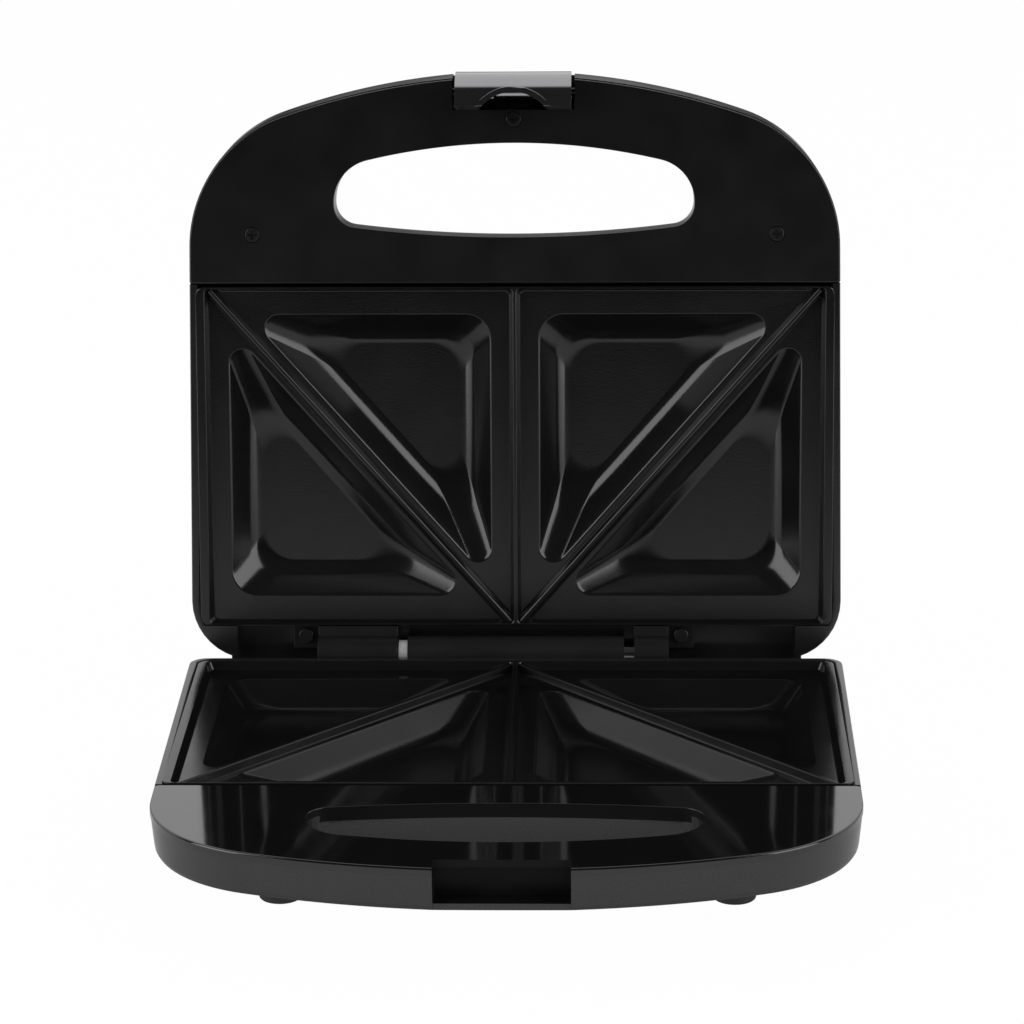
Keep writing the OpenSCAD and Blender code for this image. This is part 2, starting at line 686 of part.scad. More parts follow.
// Middle barrel of the hinge, on its block, with the heel that stops the lid
module hinge_barrel() color(plastic) as_base() difference() {
    along_x(-barrel_half, barrel_half) union() {
        circle(r = barrel_r);
        polygon([[base_rear - seat_fit, 0.4], [base_rear - seat_fit, block_d], [0, block_d],
                 [-heel_reach, heel_d1], [-heel_reach, heel_d0], [-barrel_r + 1.6, 0]]);
    }
    rod_x(-far, far, 0, 0, hinge_pin_r + seat_fit);
    for (x = [-block_screw_x, block_screw_x]) rod_q(x, -1, far, block_screw_d, screw_r + seat_fit);
}

module hinge_screws() color(steel) as_base() for (x = [-block_screw_x, block_screw_x]) {
    rod_q(x, base_rear + wall, base_rear + wall + head_h, block_screw_d, head_r);
    rod_q(x, 0, base_rear + wall, block_screw_d, screw_r);
}

module hinge_pin() color(steel) as_base() rod_x(-hinge_pin_left + 0.5, hinge_pin_right - 0.5, 0, 0, hinge_pin_r);

// Pale sleeve on the pin, in the left gap
module hinge_sleeve() color([0.85, 0.85, 0.85]) as_base() difference() {
    rod_x(-barrel_half - knuckle_gap + 0.4, -barrel_half - 0.1, 0, 0, barrel_r - 1.5);
    rod_x(-far, far, 0, 0, hinge_pin_r + run_fit);
}

module foot(x, q, from, stem) {
    rod_d(x, q, from, mate_z, foot_r);
    rod_d(x, q, stem, from, stem_r);
}

module front_feet() color(rubber) as_base() for (x = [-foot_x, foot_x]) foot(x, foot_front, belly_d, rim_h + 6);
module rear_feet() color(rubber) as_base() for (x = [-foot_x, foot_x])
    foot(x, foot_rear, belly_d, belly_d - wall - 2);

// Bush in the rear wall where the mains lead would enter
module cord_gland() color(plastic) as_base() difference() {
    union() {
        rod_q(gland_x, base_rear - 2, base_rear, gland_d, gland_bore_r + 4);
        rod_q(gland_x, base_rear, base_rear + wall + 1.6, gland_d, gland_bore_r + 2);
    }
    rod_q(gland_x, 0, 20, gland_d, gland_bore_r);
}

module base_panel_screws() color(steel) as_base() for (s = panel_places(screw_shift))
    screw(s.x, s.y, rim_h - head_h, rim_h, panel_d + 0.8);
module base_plate_screws() color(steel) as_base() for (x = [-post_x, post_x], q = [post_low, post_high])
    screw(x, q, belly_d - head_h, belly_d, flange_h + stud_l + 0.1);

module lid_shell() color(plastic) as_lid() difference() {
    union() {
        difference() {
            union() {
                rim_form(0, -lid_rear, lid_rear_r, rim_d, rim_h, lid_lean);
                dome_form(0, rim_h - 3);
            }
            rim_form(wall, -lid_rear, lid_rear_r, rim_d - 1, rim_h - wall, lid_lean);
            dome_form(wall, rim_h - wall - 1);
            box(-strip_half, strip_half, -far, plate_q - seat_fit, -1, strip_d);
        }
        box(-strip_half - wall, strip_half + wall, -lip_rear, plate_q + 3, strip_d, strip_d + wall);
        both() intersection() {
            slab(body_outline(wall / 2, -lid_rear, lid_rear_r), rim_d, strip_d + wall);
            difference() {
                box(strip_half, far, -far, plate_q - seat_fit, 0, far);
                box(strip_half + wall, far, -far, plate_q - seat_fit - wall, rim_d + wall, far);
            }
        }
        hole_wall();
        recess_wall() rim_form(wall / 2, -lid_rear, lid_rear_r, rim_d, rim_h, lid_lean);
        box(-notch_half - wall, notch_half + wall, notch_q - wall, reach, rim_h - wall, rim_h + wall);
        plate_posts(lid_step_d + 1);
        for (s = panel_places(0)) rod_d(s.x, s.y, panel_d + seat_fit, rim_h - wall / 2, boss_r);
    }
    lip_seat();
    panel_seat();
    hole_cut();
    box(-notch_half, notch_half, notch_q, far, -1, rim_h);
    for (x = [-post_x, post_x], q = [post_low, post_high]) rod_d(x, q, 0, flange_h + stud_l + 0.3, stud_r + seat_fit);
    for (s = panel_places(0)) rod_d(s.x, s.y, 0, rim_h - wall, screw_r + seat_fit);
    rod_x(-notch_half - wall, notch_half + wall, pivot_q, pivot_d, latch_pin_r + seat_fit);
    for (x = [-1, 1]) rod_d(x * lamp_x, lamp_q, 0, far, lamp_r + seat_fit);
    for (s = knuckle_screw_places()) rod_d(s, tab_screw_q, 0, strip_d + tab_bite + 1, screw_r + seat_fit);
}

function knuckle_screw_places() = [-hinge_pin_left - tab_l / 2, hinge_pin_right + tab_l / 2];

// Lid knuckle with its web and its screw tab; the tab lies on the side away from the middle
module knuckle(from, to, tab_from, tab_to) color(plastic) as_lid() difference() {
    union() {
        along_x(from, to) union() {
            circle(r = barrel_r);
            polygon([[1 - barrel_r, 2], [1 - barrel_r, strip_d], [knuckle_web_q, strip_d],
                     [knuckle_web_q, rim_d + 0.5], [barrel_r - 0.6, rim_d + 0.5]]);
        }
        box(tab_from, tab_to, tab_low, knuckle_web_q, strip_d - tab_t, strip_d);
    }
    rod_x(-far, far, 0, 0, hinge_pin_r + run_fit);
    for (s = knuckle_screw_places()) rod_d(s, tab_screw_q, 0, far, screw_r + seat_fit);
}

module left_knuckle() knuckle(-hinge_pin_left, -barrel_half - knuckle_gap,
                              -hinge_pin_left - tab_l, -hinge_pin_left + slice);
module right_knuckle() knuckle(barrel_half + knuckle_gap, hinge_pin_right,
                               hinge_pin_right - slice, hinge_pin_right + tab_l);

module knuckle_screws() color(steel) as_lid() for (s = knuckle_screw_places())
    screw(s, tab_screw_q, strip_d - tab_t, strip_d - tab_t - head_h, strip_d + tab_bite);

module lid_panel_screws() color(steel) as_lid() for (s = panel_places(0))
    screw(s.x, s.y, panel_top + head_h, panel_top + 0.1, rim_h - wall - 1);

module lamp(side, tint) color(tint) as_lid() {
    rod_d(side * lamp_x, lamp_q, dome_d - wall - lamp_rim / 2, dome_d + 0.1, lamp_r);
    rod_d(side * lamp_x, lamp_q, dome_d - wall - lamp_rim, dome_d - wall - seat_fit, lamp_r + lamp_flange);
}

module power_lamp() lamp(-1, [0.8, 0.1, 0.08]);
module ready_lamp() lamp(1, [0.1, 0.6, 0.15]);

// Carrier behind the two lamps, standing on the reflector
module lamp_holder() color([0.85, 0.84, 0.8]) as_lid() {
    holder_d = dome_d - wall - lamp_rim - seat_fit;
    leg_x = lamp_x + holder_past - leg_t;
    box(-lamp_x - holder_past, lamp_x + holder_past, lamp_q - holder_half, lamp_q + holder_half,
        holder_d - holder_t, holder_d);
    for (x = [-leg_x, leg_x]) box(x - leg_t / 2, x + leg_t / 2, lamp_q - holder_half + leg_t,
                                  lamp_q + holder_half - leg_t, reflector_back, holder_d - holder_t);
}

module lid_wiring() color([0.8, 0.78, 0.72]) as_lid() {
    near = heater_q - heater_half;
    run_q = post_low + post_r + lead_r + 0.8;
    lead([[lead_x, near, heater_d], [lead_x, near - 6, heater_d], [lead_x - 11, near - 18, heater_d - 0.3],
          [heater_end - 10, run_q, heater_d - 0.7], [8 - barrel_half, run_q, heater_d - 0.7],
          [2 - barrel_half, post_low + 1, heater_d - 3], [-barrel_half, post_low - 1, strip_d + 6]], lead_r);
    lead([[lead_x, near + 2 * heater_half, heater_d], [lead_x, near + 2 * heater_half - 11, heater_d + 2.5],
          [lead_x, reflector_low + 12, heater_d + 2.5], [lead_x - 1.3, reflector_low + 4, heater_d + 0.3],
          [heater_end, run_q, heater_d + 0.7], [heater_end - 10, run_q, heater_d + 1.7],
          [12 - barrel_half, run_q, heater_d + 1.7], [5 - barrel_half, post_low, heater_d - 0.7],
          [3 - barrel_half, post_low - 1.5, strip_d + 6]], lead_r);
}

module latch_pin() color(steel) as_lid()
    rod_x(-notch_half - wall + 0.1, notch_half + wall - 0.1, pivot_q, pivot_d, latch_pin_r);

// Return spring on the pin, in the latch's middle
module latch_spring() color(steel) as_lid() difference() {
    rod_x(-spring_half, spring_half, pivot_q, pivot_d, latch_pin_r + 1.6);
    rod_x(-far, far, pivot_q, pivot_d, latch_pin_r + seat_fit);
}

// Front latch: a curved front with the thumb cut-out, a hook behind it and a boss on the pin
module latch() color(silver) as_lid() difference() {
    union() {
        along_x(-latch_half, latch_half) union() {
            translate([pivot_q, pivot_d]) circle(r = latch_boss_r);
            polygon(concat(
                arc([pivot_q, nose_d], latch_front - pivot_q, 82, 0, 8),
                arc([nose_q, nose_d], nose_r, -4, -nose_turn, 16),
                arc([nose_q, nose_d], nose_r - latch_t, -nose_turn, -8, 14),
                [[pivot_q, pivot_d - latch_boss_r + 0.1], [pivot_q, pivot_d + latch_boss_r - 0.1]]));
        }
        intersection() {
            box(-latch_half, latch_half, hook_q, latch_front, -hook_top - hook_t, -hook_top);
            rod_x(-far, far, nose_q, nose_d, nose_r - latch_t / 2);
        }
    }
    rod_x(-far, far, pivot_q, pivot_d, latch_pin_r + run_fit);
    rod_d(0, latch_front - thumb_top - thumb_r, -far, -2, thumb_r);
    box(-spring_half - 0.6, spring_half + 0.6, hook_q - 2, latch_front - latch_t - 1.2, 0, pivot_d + 3.6);
}

base_shell();
base_panel();
base_plate();
base_heater();
base_reflector();
thermostat();
thermal_fuse();
terminal_block();
base_wiring();
hinge_barrel();
hinge_screws();
hinge_pin();
hinge_sleeve();
front_feet();
rear_feet();
cord_gland();
base_panel_screws();
base_plate_screws();
lid_shell();
lid_panel();
lid_plate();
lid_heater();
lid_reflector();
left_knuckle();
right_knuckle();
knuckle_screws();
lid_panel_screws();
power_lamp();
ready_lamp();
lamp_holder();
lid_wiring();
latch_pin();
latch_spring();
latch();
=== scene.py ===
"""Dresses the packed sandwich toaster: smooth shells, panels and cast plates round the fixed frame.

Sizes are in millimetres in the half frame that both moulded halves share: x to the right, q from
the hinge axis towards the handle, d from the mating plane outwards. HalfFrame places them. Cutters
start at ABOVE, short of the mating plane, and end at FAR, past the handle; EDGE is the usual bevel.
"""

import json
import logging
import math
from collections.abc import Callable
from dataclasses import dataclass, field
from enum import Enum

import bmesh
import bpy
from mathutils import Matrix, Vector

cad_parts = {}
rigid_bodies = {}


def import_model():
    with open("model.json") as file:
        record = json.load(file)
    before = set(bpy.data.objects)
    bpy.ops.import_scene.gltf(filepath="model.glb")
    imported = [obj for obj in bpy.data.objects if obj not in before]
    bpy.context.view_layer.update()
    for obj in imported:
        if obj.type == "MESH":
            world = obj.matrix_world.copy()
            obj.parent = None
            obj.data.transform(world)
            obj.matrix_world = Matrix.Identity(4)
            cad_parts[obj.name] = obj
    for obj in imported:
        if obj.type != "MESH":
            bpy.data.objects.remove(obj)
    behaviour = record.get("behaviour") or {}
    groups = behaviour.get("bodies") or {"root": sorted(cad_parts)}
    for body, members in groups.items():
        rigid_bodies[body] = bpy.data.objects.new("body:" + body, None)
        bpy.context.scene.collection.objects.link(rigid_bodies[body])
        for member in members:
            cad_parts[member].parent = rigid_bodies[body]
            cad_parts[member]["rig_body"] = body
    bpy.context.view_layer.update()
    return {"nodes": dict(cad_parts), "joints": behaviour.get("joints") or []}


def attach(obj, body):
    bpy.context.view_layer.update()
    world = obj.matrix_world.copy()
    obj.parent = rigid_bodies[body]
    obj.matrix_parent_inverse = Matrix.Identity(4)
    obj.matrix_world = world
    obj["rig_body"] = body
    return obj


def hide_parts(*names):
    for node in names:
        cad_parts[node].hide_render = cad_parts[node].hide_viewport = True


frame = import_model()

log = logging.getLogger("toaster")
MM = 0.001

ABOVE = -3.0
FAR = 230.0
EDGE = 0.3
NOTCH_HALF = 21.0
SCREW_PLACES = ((-90.6, 147.0), (90.6, 147.0), (0.0, 186.7))

Point = tuple[float, float]
Ring = list[tuple[float, float, float]]


# ---------------------------------------------------------------- camera, light and studio


@dataclass(frozen=True)
class Shot:
    """The photograph's camera, in the row frame."""

    place: tuple[float, float, float] = (0.0309, -1.176, 0.4658)
    pitch: float = 16.82
    yaw: float = 1.46
    roll: float = -0.46
    focal_px: float = 3761.0
    frame_px: float = 1024.0
    sensor: float = 36.0

    def make(self) -> None:
        """Adds the camera and makes it the scene's camera."""
        pitch, yaw, roll = (math.radians(a) for a in (self.pitch, self.yaw, self.roll))
        ahead = Vector((-math.sin(yaw) * math.cos(pitch), math.cos(yaw) * math.cos(pitch), -math.sin(pitch)))
        right = Vector((math.cos(yaw), math.sin(yaw), 0))
        up = right.cross(ahead)
        across = right * math.cos(roll) + up * math.sin(roll)
        above = up * math.cos(roll) - right * math.sin(roll)
        turn = Matrix((across, above, -ahead)).transposed().to_4x4()
        bpy.ops.object.camera_add()
        camera = bpy.context.object
        camera.matrix_world = Matrix.Translation(self.place) @ turn
        camera.data.sensor_width = self.sensor
        camera.data.lens = self.focal_px / self.frame_px * self.sensor
        camera.data.clip_end = 50
        bpy.context.scene.camera = camera


@dataclass(frozen=True)
class Softbox:
    """A rectangular lamp that looks at a point."""

    name: str
    place: tuple[float, float, float]
    target: tuple[float, float, float]
    size: tuple[float, float]
    power: float
    mirrored: bool = True

    def make(self) -> None:
        """Adds the lamp."""
        bpy.ops.object.light_add(type="AREA", location=self.place)
        lamp = bpy.context.object
        lamp.name = self.name
        lamp.data.shape = "RECTANGLE"
        lamp.data.size, lamp.data.size_y = self.size
        lamp.data.energy = self.power
        lamp.visible_glossy = self.mirrored
        aim = Vector(self.target) - Vector(self.place)
        lamp.rotation_euler = aim.to_track_quat("-Z", "Y").to_euler()


# ---------------------------------------------------------------- materials


class Sock:
    """A node socket whose operators add Math nodes."""

    def __init__(self, shader: "Shader", socket: bpy.types.NodeSocket) -> None:
        self.shader = shader
        self.socket = socket

    def _math(self, operation: str, first: object, second: object) -> "Sock":
        """Adds one Math node.

        Args:
            operation: the node's operation.
            first: a Sock or a number.
            second: a Sock or a number.

        Returns:
            The node's result.
        """
        return self.shader.node("ShaderNodeMath", {"operation": operation}, {0: first, 1: second})

    def __add__(self, other: object) -> "Sock":
        """Sum."""
        return self._math("ADD", self, other)

    def __rsub__(self, other: object) -> "Sock":
        """Difference from a number."""
        return self._math("SUBTRACT", other, self)

    def __mul__(self, other: object) -> "Sock":
        """Product."""
        return self._math("MULTIPLY", self, other)

    __radd__ = __add__
    __rmul__ = __mul__


class Shader:
    """Builds one node tree, of a material or of the world."""

    def __init__(self, tree: bpy.types.NodeTree) -> None:
        self.tree = tree
        tree.nodes.clear()

    def node(self, kind: str, settings: dict | None = None, inputs: dict | None = None,
             output: int | str = 0) -> Sock:
        """Adds a node.

        Args:
            kind: the node's type name.
            settings: its properties, set first; "stops" fills a colour ramp.
            inputs: values or Socks by socket name or number.
            output: the socket that is returned.

        Returns:
            The chosen output.
        """
        made = self.tree.nodes.new(kind)
        for key, value in (settings or {}).items():
            if key == "stops":
                for element, (at, grey) in zip(made.color_ramp.elements, value):
                    element.position = at
                    element.color = (grey, grey, grey, 1)
            else:
                setattr(made, key, value)
        for key, value in (inputs or {}).items():
            if isinstance(value, Sock):
                self.tree.links.new(value.socket, made.inputs[key])
            else:
                made.inputs[key].default_value = value
        return Sock(self, made.outputs[output]) if made.outputs else Sock(self, None)

    def noise(self, scale: float, detail: float = 2.0,
              stretch: tuple[float, float, float] | None = None) -> Sock:
        """Noise on object coordinates.

        Args:
            scale: cells per metre.
            detail: octaves.
            stretch: scale along each axis, if it isn't even.

        Returns:
            The noise's value, 0 to 1.
        """
        place = self.node("ShaderNodeTexCoord", output="Object")
        if stretch:
            place = self.node("ShaderNodeMapping", {}, {"Vector": place, "Scale": stretch})
        return self.node("ShaderNodeTexNoise", {}, {"Vector": place, "Scale": scale, "Detail": detail})

    def spread(self, value: Sock, low: float, high: float) -> Sock:
        """Maps 0.3 to 0.7 of a value to low to high.

        Args:
            value: a noise.
            low: result at 0.3.
            high: result at 0.7.

        Returns:
            The mapped value.
        """
        return self.node("ShaderNodeMapRange", {}, {"Value": value, "From Min": 0.3, "From Max": 0.7,
                                                    "To Min": low, "To Max": high})

    def tint(self, factor: Sock, dark: tuple, light: tuple) -> Sock:
        """Mixes two colours.

        Args:
            factor: 0 to 1.
            dark: colour at 0.
            light: colour at 1.

        Returns:
            The colour.
        """
        return self.node("ShaderNodeMix", {"data_type": "RGBA"}, {"Factor": factor, 6: dark, 7: light}, 2)


@dataclass(frozen=True)
class Finish:
    """A finish: colour, gloss and a fine grain."""

    name: str
    colour: tuple[float, float, float]
    light: tuple[float, float, float]
    rough: tuple[float, float]
    metallic: float = 0.0
    coat: float = 0.0
    coat_rough: float = 0.1
    specular: float = 0.5
    patch: float = 60.0
    grain: float = 1800.0
    bump: float = 0.05
    depth: float = 0.00006
    stretch: tuple[float, float, float] | None = None

    def material(self) -> bpy.types.Material:
        """Builds the finish once.

        Returns:
            The material, which later calls share.
        """
        title = f"{self.name}_finish"
        if title in bpy.data.materials:
            return bpy.data.materials[title]
        made = bpy.data.materials.new(title)
        made.use_nodes = True
        shader = Shader(made.node_tree)
        patches = shader.noise(self.patch, 3.0)
        grain = shader.noise(self.grain, 2.0, self.stretch)
        factor = shader.spread(patches * 0.4 + grain * 0.6, 0.0, 1.0)
        colour = shader.tint(factor, (*self.colour, 1), (*self.light, 1))
        bump = shader.node("ShaderNodeBump", {}, {"Height": grain, "Strength": self.bump,
                                                  "Distance": self.depth})
        surface = shader.node("ShaderNodeBsdfPrincipled", {}, {
            "Base Color": colour, "Roughness": shader.spread(patches, *self.rough), "Metallic": self.metallic,
            "Specular IOR Level": self.specular, "Coat Weight": self.coat, "Coat Roughness": self.coat_rough,
            "Normal": bump})
        shader.node("ShaderNodeOutputMaterial", {}, {"Surface": surface})
        return made


SATIN_SHELL = Finish("satin_shell", (0.0145, 0.0145, 0.0155), (0.0215, 0.0215, 0.0225), (0.12, 0.16),
                     grain=2600, bump=0.15, specular=0.6)
LID_SHELL = Finish("lid_shell_gloss", (0.006, 0.006, 0.0065), (0.009, 0.009, 0.0095), (0.14, 0.2),
                   grain=900, bump=0.02, specular=0.6)
GLOSS_PANEL = Finish("gloss_panel", (0.0035, 0.0035, 0.004), (0.005, 0.005, 0.0055), (0.05, 0.09),
                     grain=700, bump=0.015, coat=0.5, coat_rough=0.05)
LID_PANEL = Finish("lid_panel_satin", (0.0042, 0.0042, 0.0045), (0.0062, 0.0062, 0.0066), (0.2, 0.26),
                   specular=0.42)
COATING = Finish("plate_coating", (0.0045, 0.0045, 0.0048), (0.008, 0.008, 0.0083), (0.12, 0.16),
                 grain=2300, bump=0.3)
# The lid plate's coating again, a little darker as painted shade on the base plate, and rougher for the angle
# at which it meets the light.
SHADED_BASE_COATING = Finish("base_plate_coating_shaded", (0.004, 0.004, 0.0042), (0.007, 0.007, 0.0072), (0.15, 0.2),
                      grain=2300, bump=0.25)
HINGE_PLASTIC = Finish("hinge_plastic", (0.009, 0.009, 0.0093), (0.013, 0.013, 0.0133), (0.34, 0.42),
                       grain=2400, bump=0.2, specular=0.25)
DARK_SCREW = Finish("dark_screw", (0.03, 0.03, 0.032), (0.06, 0.06, 0.062), (0.22, 0.32),
                    metallic=0.9, grain=1500, bump=0.1)
ZINC_SCREW = Finish("zinc_screw", (0.42, 0.43, 0.45), (0.6, 0.61, 0.63), (0.25, 0.4),
                    metallic=1.0, grain=1500, bump=0.1)
PIN_STEEL = Finish("pin_steel", (0.5, 0.5, 0.52), (0.64, 0.64, 0.66), (0.2, 0.32),
                   metallic=1.0, grain=1200, bump=0.15, stretch=(0.05, 1, 1))
HEATER_STEEL = Finish("heater_steel", (0.2, 0.19, 0.18), (0.36, 0.34, 0.32), (0.4, 0.6),
                      metallic=1.0, grain=900, bump=0.2)
SHEET = Finish("reflector_sheet", (0.6, 0.61, 0.63), (0.78, 0.79, 0.8), (0.22, 0.36),
               metallic=1.0, grain=1000, bump=0.15, stretch=(0.1, 1, 1))
SLEEVE = Finish("pale_sleeve", (0.5, 0.5, 0.5), (0.64, 0.64, 0.64), (0.3, 0.45), grain=1600, bump=0.1)
PALE_NYLON = Finish("pale_nylon", (0.62, 0.6, 0.55), (0.74, 0.72, 0.67), (0.4, 0.5), bump=0.1)
WIRE = Finish("woven_sleeving", (0.55, 0.52, 0.46), (0.75, 0.72, 0.65), (0.7, 0.85), grain=3200, bump=0.8)
RUBBER = Finish("foot_rubber", (0.034, 0.034, 0.035), (0.052, 0.052, 0.053), (0.5, 0.65),
                grain=2400, bump=0.3)
SILVER = Finish("latch_silver", (0.3, 0.3, 0.31), (0.34, 0.34, 0.35), (0.07, 0.1),
                metallic=1.0, grain=2600, bump=0.03)
# Painted shade: a darker, duller black for the faces inside the base's latch recess and for the upright faces
# in the base panel's hand hole and latch gap, where shade falls.
PAINTED_SHADE_BLACK = Finish("painted_shade_black", (0.005, 0.005, 0.0053), (0.007, 0.007, 0.0073), (0.4, 0.5),
                    grain=2400, bump=0.1, specular=0.12)
RED_LENS = Finish("red_lens", (0.45, 0.02, 0.015), (0.6, 0.04, 0.03), (0.08, 0.14),
                  grain=900, bump=0.02, coat=0.6)
GREEN_LENS = Finish("green_lens", (0.02, 0.3, 0.06), (0.05, 0.45, 0.1), (0.08, 0.14),
                    grain=900, bump=0.02, coat=0.6)


class Studio:
    """Pale floor, soft lamps and a white surround that is dark on the camera's side."""

    ambient = 0.32
    front_gloss = 0.035
    back_edge = (0.12, 0.26)
    horizon = (0.08, 0.22)
    floor_half = 6.0
    floor_white = 0.985
    floor_dark = (0.78, 0.78, 0.78, 1)
    floor_light = (0.8, 0.8, 0.8, 1)

    def light(self) -> None:
        """Adds the lamps and the world."""
        for lamp in (
            Softbox("left_softbox", (-1.15, -0.6, 0.62), (0.0, 0.03, 0.35), (0.9, 1.2), 11.0),
            Softbox("right_softbox", (1.15, -0.6, 0.62), (0.0, 0.03, 0.35), (0.9, 1.2), 11.0),
            Softbox("back_softbox", (0.0, 0.85, 1.35), (0.0, 0.03, 0.1), (1.2, 0.8), 7.0, mirrored=False),
        ):
            lamp.make()
        world = bpy.data.worlds.new("studio")
        bpy.context.scene.world = world
        world.use_nodes = True
        shader = Shader(world.node_tree)
        towards = shader.node("ShaderNodeTexCoord", output="Generated")
        behind = self.ramp(shader, towards, "Y", self.back_edge, (self.front_gloss, 1.0))
        above = self.ramp(shader, towards, "Z", self.horizon, (self.front_gloss, 1.0))
        camera = shader.node("ShaderNodeLightPath", output="Is Camera Ray")
        glossy = shader.node("ShaderNodeLightPath", output="Is Glossy Ray")
        clear = shader.node("ShaderNodeLightPath", output="Is Transmission Ray")
        plain = (1 - camera) * (1 - glossy) * (1 - clear)
        strength = plain * self.ambient + camera + (glossy + clear) * behind * above
        back = shader.node("ShaderNodeBackground", {}, {"Color": (1, 1, 1, 1), "Strength": strength})
        shader.node("ShaderNodeOutputWorld", {}, {"Surface": back})

    @staticmethod
    def ramp(shader: Shader, towards: Sock, axis: str, edge: tuple[float, float],
             ends: tuple[float, float]) -> Sock:
        """Changes softly with one part of the direction.

        Args:
            shader: the tree.
            towards: the direction.
            axis: X, Y or Z.
            edge: where the change begins and ends.
            ends: values before and after it.

        Returns:
            The value.
        """
        part = shader.node("ShaderNodeSeparateXYZ", {}, {0: towards}, axis)
        return shader.node("ShaderNodeMapRange", {"interpolation_type": "SMOOTHSTEP"},
                           {"Value": part, "From Min": edge[0], "From Max": edge[1],
                            "To Min": ends[0], "To Max": ends[1]})

    def floor(self) -> None:
        """Adds the floor, white to the camera but for a faint shadow."""
        bpy.ops.mesh.primitive_plane_add(size=2 * self.floor_half, location=(0, 0, 0))
        floor = bpy.context.object
        floor.name = "studio_floor"
        made = bpy.data.materials.new("studio_floor")
        made.use_nodes = True
        shader = Shader(made.node_tree)
        camera = shader.node("ShaderNodeLightPath", output="Is Camera Ray")
        grain = shader.noise(40.0)
        colour = shader.tint(grain, self.floor_dark, self.floor_light)
        matt = shader.node("ShaderNodeBsdfDiffuse", {}, {"Color": colour})
        white = shader.node("ShaderNodeEmission", {}, {"Color": (1, 1, 1, 1), "Strength": 1.0})
        both = shader.node("ShaderNodeMixShader", {}, {0: camera * self.floor_white, 1: matt, 2: white})
        shader.node("ShaderNodeOutputMaterial", {}, {"Surface": both})
        floor.data.materials.append(made)


# ---------------------------------------------------------------- modelling helpers


class Half(Enum):
    """The two moulded halves, by the CAD body that each rides on."""

    BASE = "base"
    LID = "lid"


@dataclass(frozen=True)
class HalfFrame:
    """Places half-frame millimetres in the row frame."""

    mate_z: float = 36.0
    open_angle: float = 97.0

    @property
    def hinge_y(self) -> float:
        """Distance of the hinge axis behind the origin, from the hinge joint."""
        joint = next(j for j in frame["joints"] if j["name"] == "lid_hinge")
        return joint["pos_m"][1] / MM

    def matrix(self, half: Half) -> Matrix:
        """Gives a half's placement.

        Args:
            half: which half.

        Returns:
            The matrix from half-frame millimetres to row-frame metres.
        """
        axis = Matrix.Translation((0, self.hinge_y * MM, self.mate_z * MM))
        if half is Half.BASE:
            turn = Matrix.Rotation(math.pi, 4, "X")
        else:
            turn = Matrix.Rotation(-math.radians(self.open_angle), 4, "X") @ Matrix.Diagonal((1, -1, 1, 1))
        return axis @ turn @ Matrix.Scale(MM, 4)


PLACE = HalfFrame()


def deselect() -> None:
    """Leaves nothing selected and no edit mode."""
    if bpy.context.object and bpy.context.object.mode != "OBJECT":
        bpy.ops.object.mode_set(mode="OBJECT")
    bpy.ops.object.select_all(action="DESELECT")


def activate(piece: bpy.types.Object) -> None:
    """Selects one object alone.

    Args:
        piece: the object.
    """
    deselect()
    piece.select_set(True)
    bpy.context.view_layer.objects.active = piece


def apply_modifier(piece: bpy.types.Object, kind: str, **settings: object) -> None:
    """Adds a modifier and applies it.

    Args:
        piece: the object.
        kind: the modifier's type.
        **settings: its properties.
    """
    activate(piece)
    modifier = piece.modifiers.new(kind.lower(), kind)
    for key, value in settings.items():
        setattr(modifier, key, value)
    bpy.ops.object.modifier_apply(modifier=modifier.name)


def combine(piece: bpy.types.Object, tool: bpy.types.Object, operation: str) -> None:
    """Joins or cuts with another solid, which is then removed.

    Args:
        piece: the object that stays.
        tool: the other solid.
        operation: UNION, DIFFERENCE or INTERSECT.
    """
    apply_modifier(piece, "BOOLEAN", object=tool, operation=operation, solver="EXACT")
    bpy.data.objects.remove(tool)


def outward(piece: bpy.types.Object) -> None:
    """Turns all faces outwards.

    Args:
        piece: the object.
    """
    activate(piece)
    bpy.ops.object.mode_set(mode="EDIT")
    bpy.ops.mesh.select_all(action="SELECT")
    bpy.ops.mesh.normals_make_consistent(inside=False)
    bpy.ops.object.mode_set(mode="OBJECT")


def loft(name: str, rings: list[Ring]) -> bpy.types.Object:
    """Extrudes a filled ring through the others, each with as many points.

    Args:
        name: the object's name.
        rings: the rings, in order.

    Returns:
        The closed solid.
    """
    deselect()
    bpy.ops.mesh.primitive_circle_add(vertices=len(rings[0]), fill_type="NGON")
    piece = bpy.context.object
    piece.name = name
    order = piece.data.attributes.new("order", "INT", "POINT")
    for k, vertex in enumerate(piece.data.vertices):
        vertex.co = rings[0][k]
        order.data[k].value = k
    bpy.ops.object.mode_set(mode="EDIT")
    bpy.ops.mesh.select_all(action="SELECT")
    for ring in rings[1:]:
        bpy.ops.mesh.extrude_region_move()
        mesh = bmesh.from_edit_mesh(piece.data)
        layer = mesh.verts.layers.int["order"]
        for vertex in mesh.verts:
            if vertex.select:
                vertex.co = ring[vertex[layer]]
        bmesh.update_edit_mesh(piece.data)
    bpy.ops.object.mode_set(mode="OBJECT")
    piece.data.attributes.remove(piece.data.attributes["order"])
    outward(piece)
    return piece


def block(name: str, low: tuple, high: tuple, bevel: float = 0.0) -> bpy.types.Object:
    """Makes a box with bevelled edges.

    Args:
        name: the object's name.
        low: lowest corner.
        high: highest corner.
        bevel: width of the bevel.

    Returns:
        The box.
    """
    deselect()
    middle = [(a + b) / 2 for a, b in zip(low, high)]
    bpy.ops.mesh.primitive_cube_add(size=1, location=(0, 0, 0))
    piece = bpy.context.object
    piece.name = name
    bpy.ops.object.mode_set(mode="EDIT")
    bpy.ops.transform.resize(value=[b - a for a, b in zip(low, high)])
    bpy.ops.transform.translate(value=middle)
    bpy.ops.object.mode_set(mode="OBJECT")
    if bevel:
        apply_modifier(piece, "BEVEL", width=bevel, segments=3)
    return piece


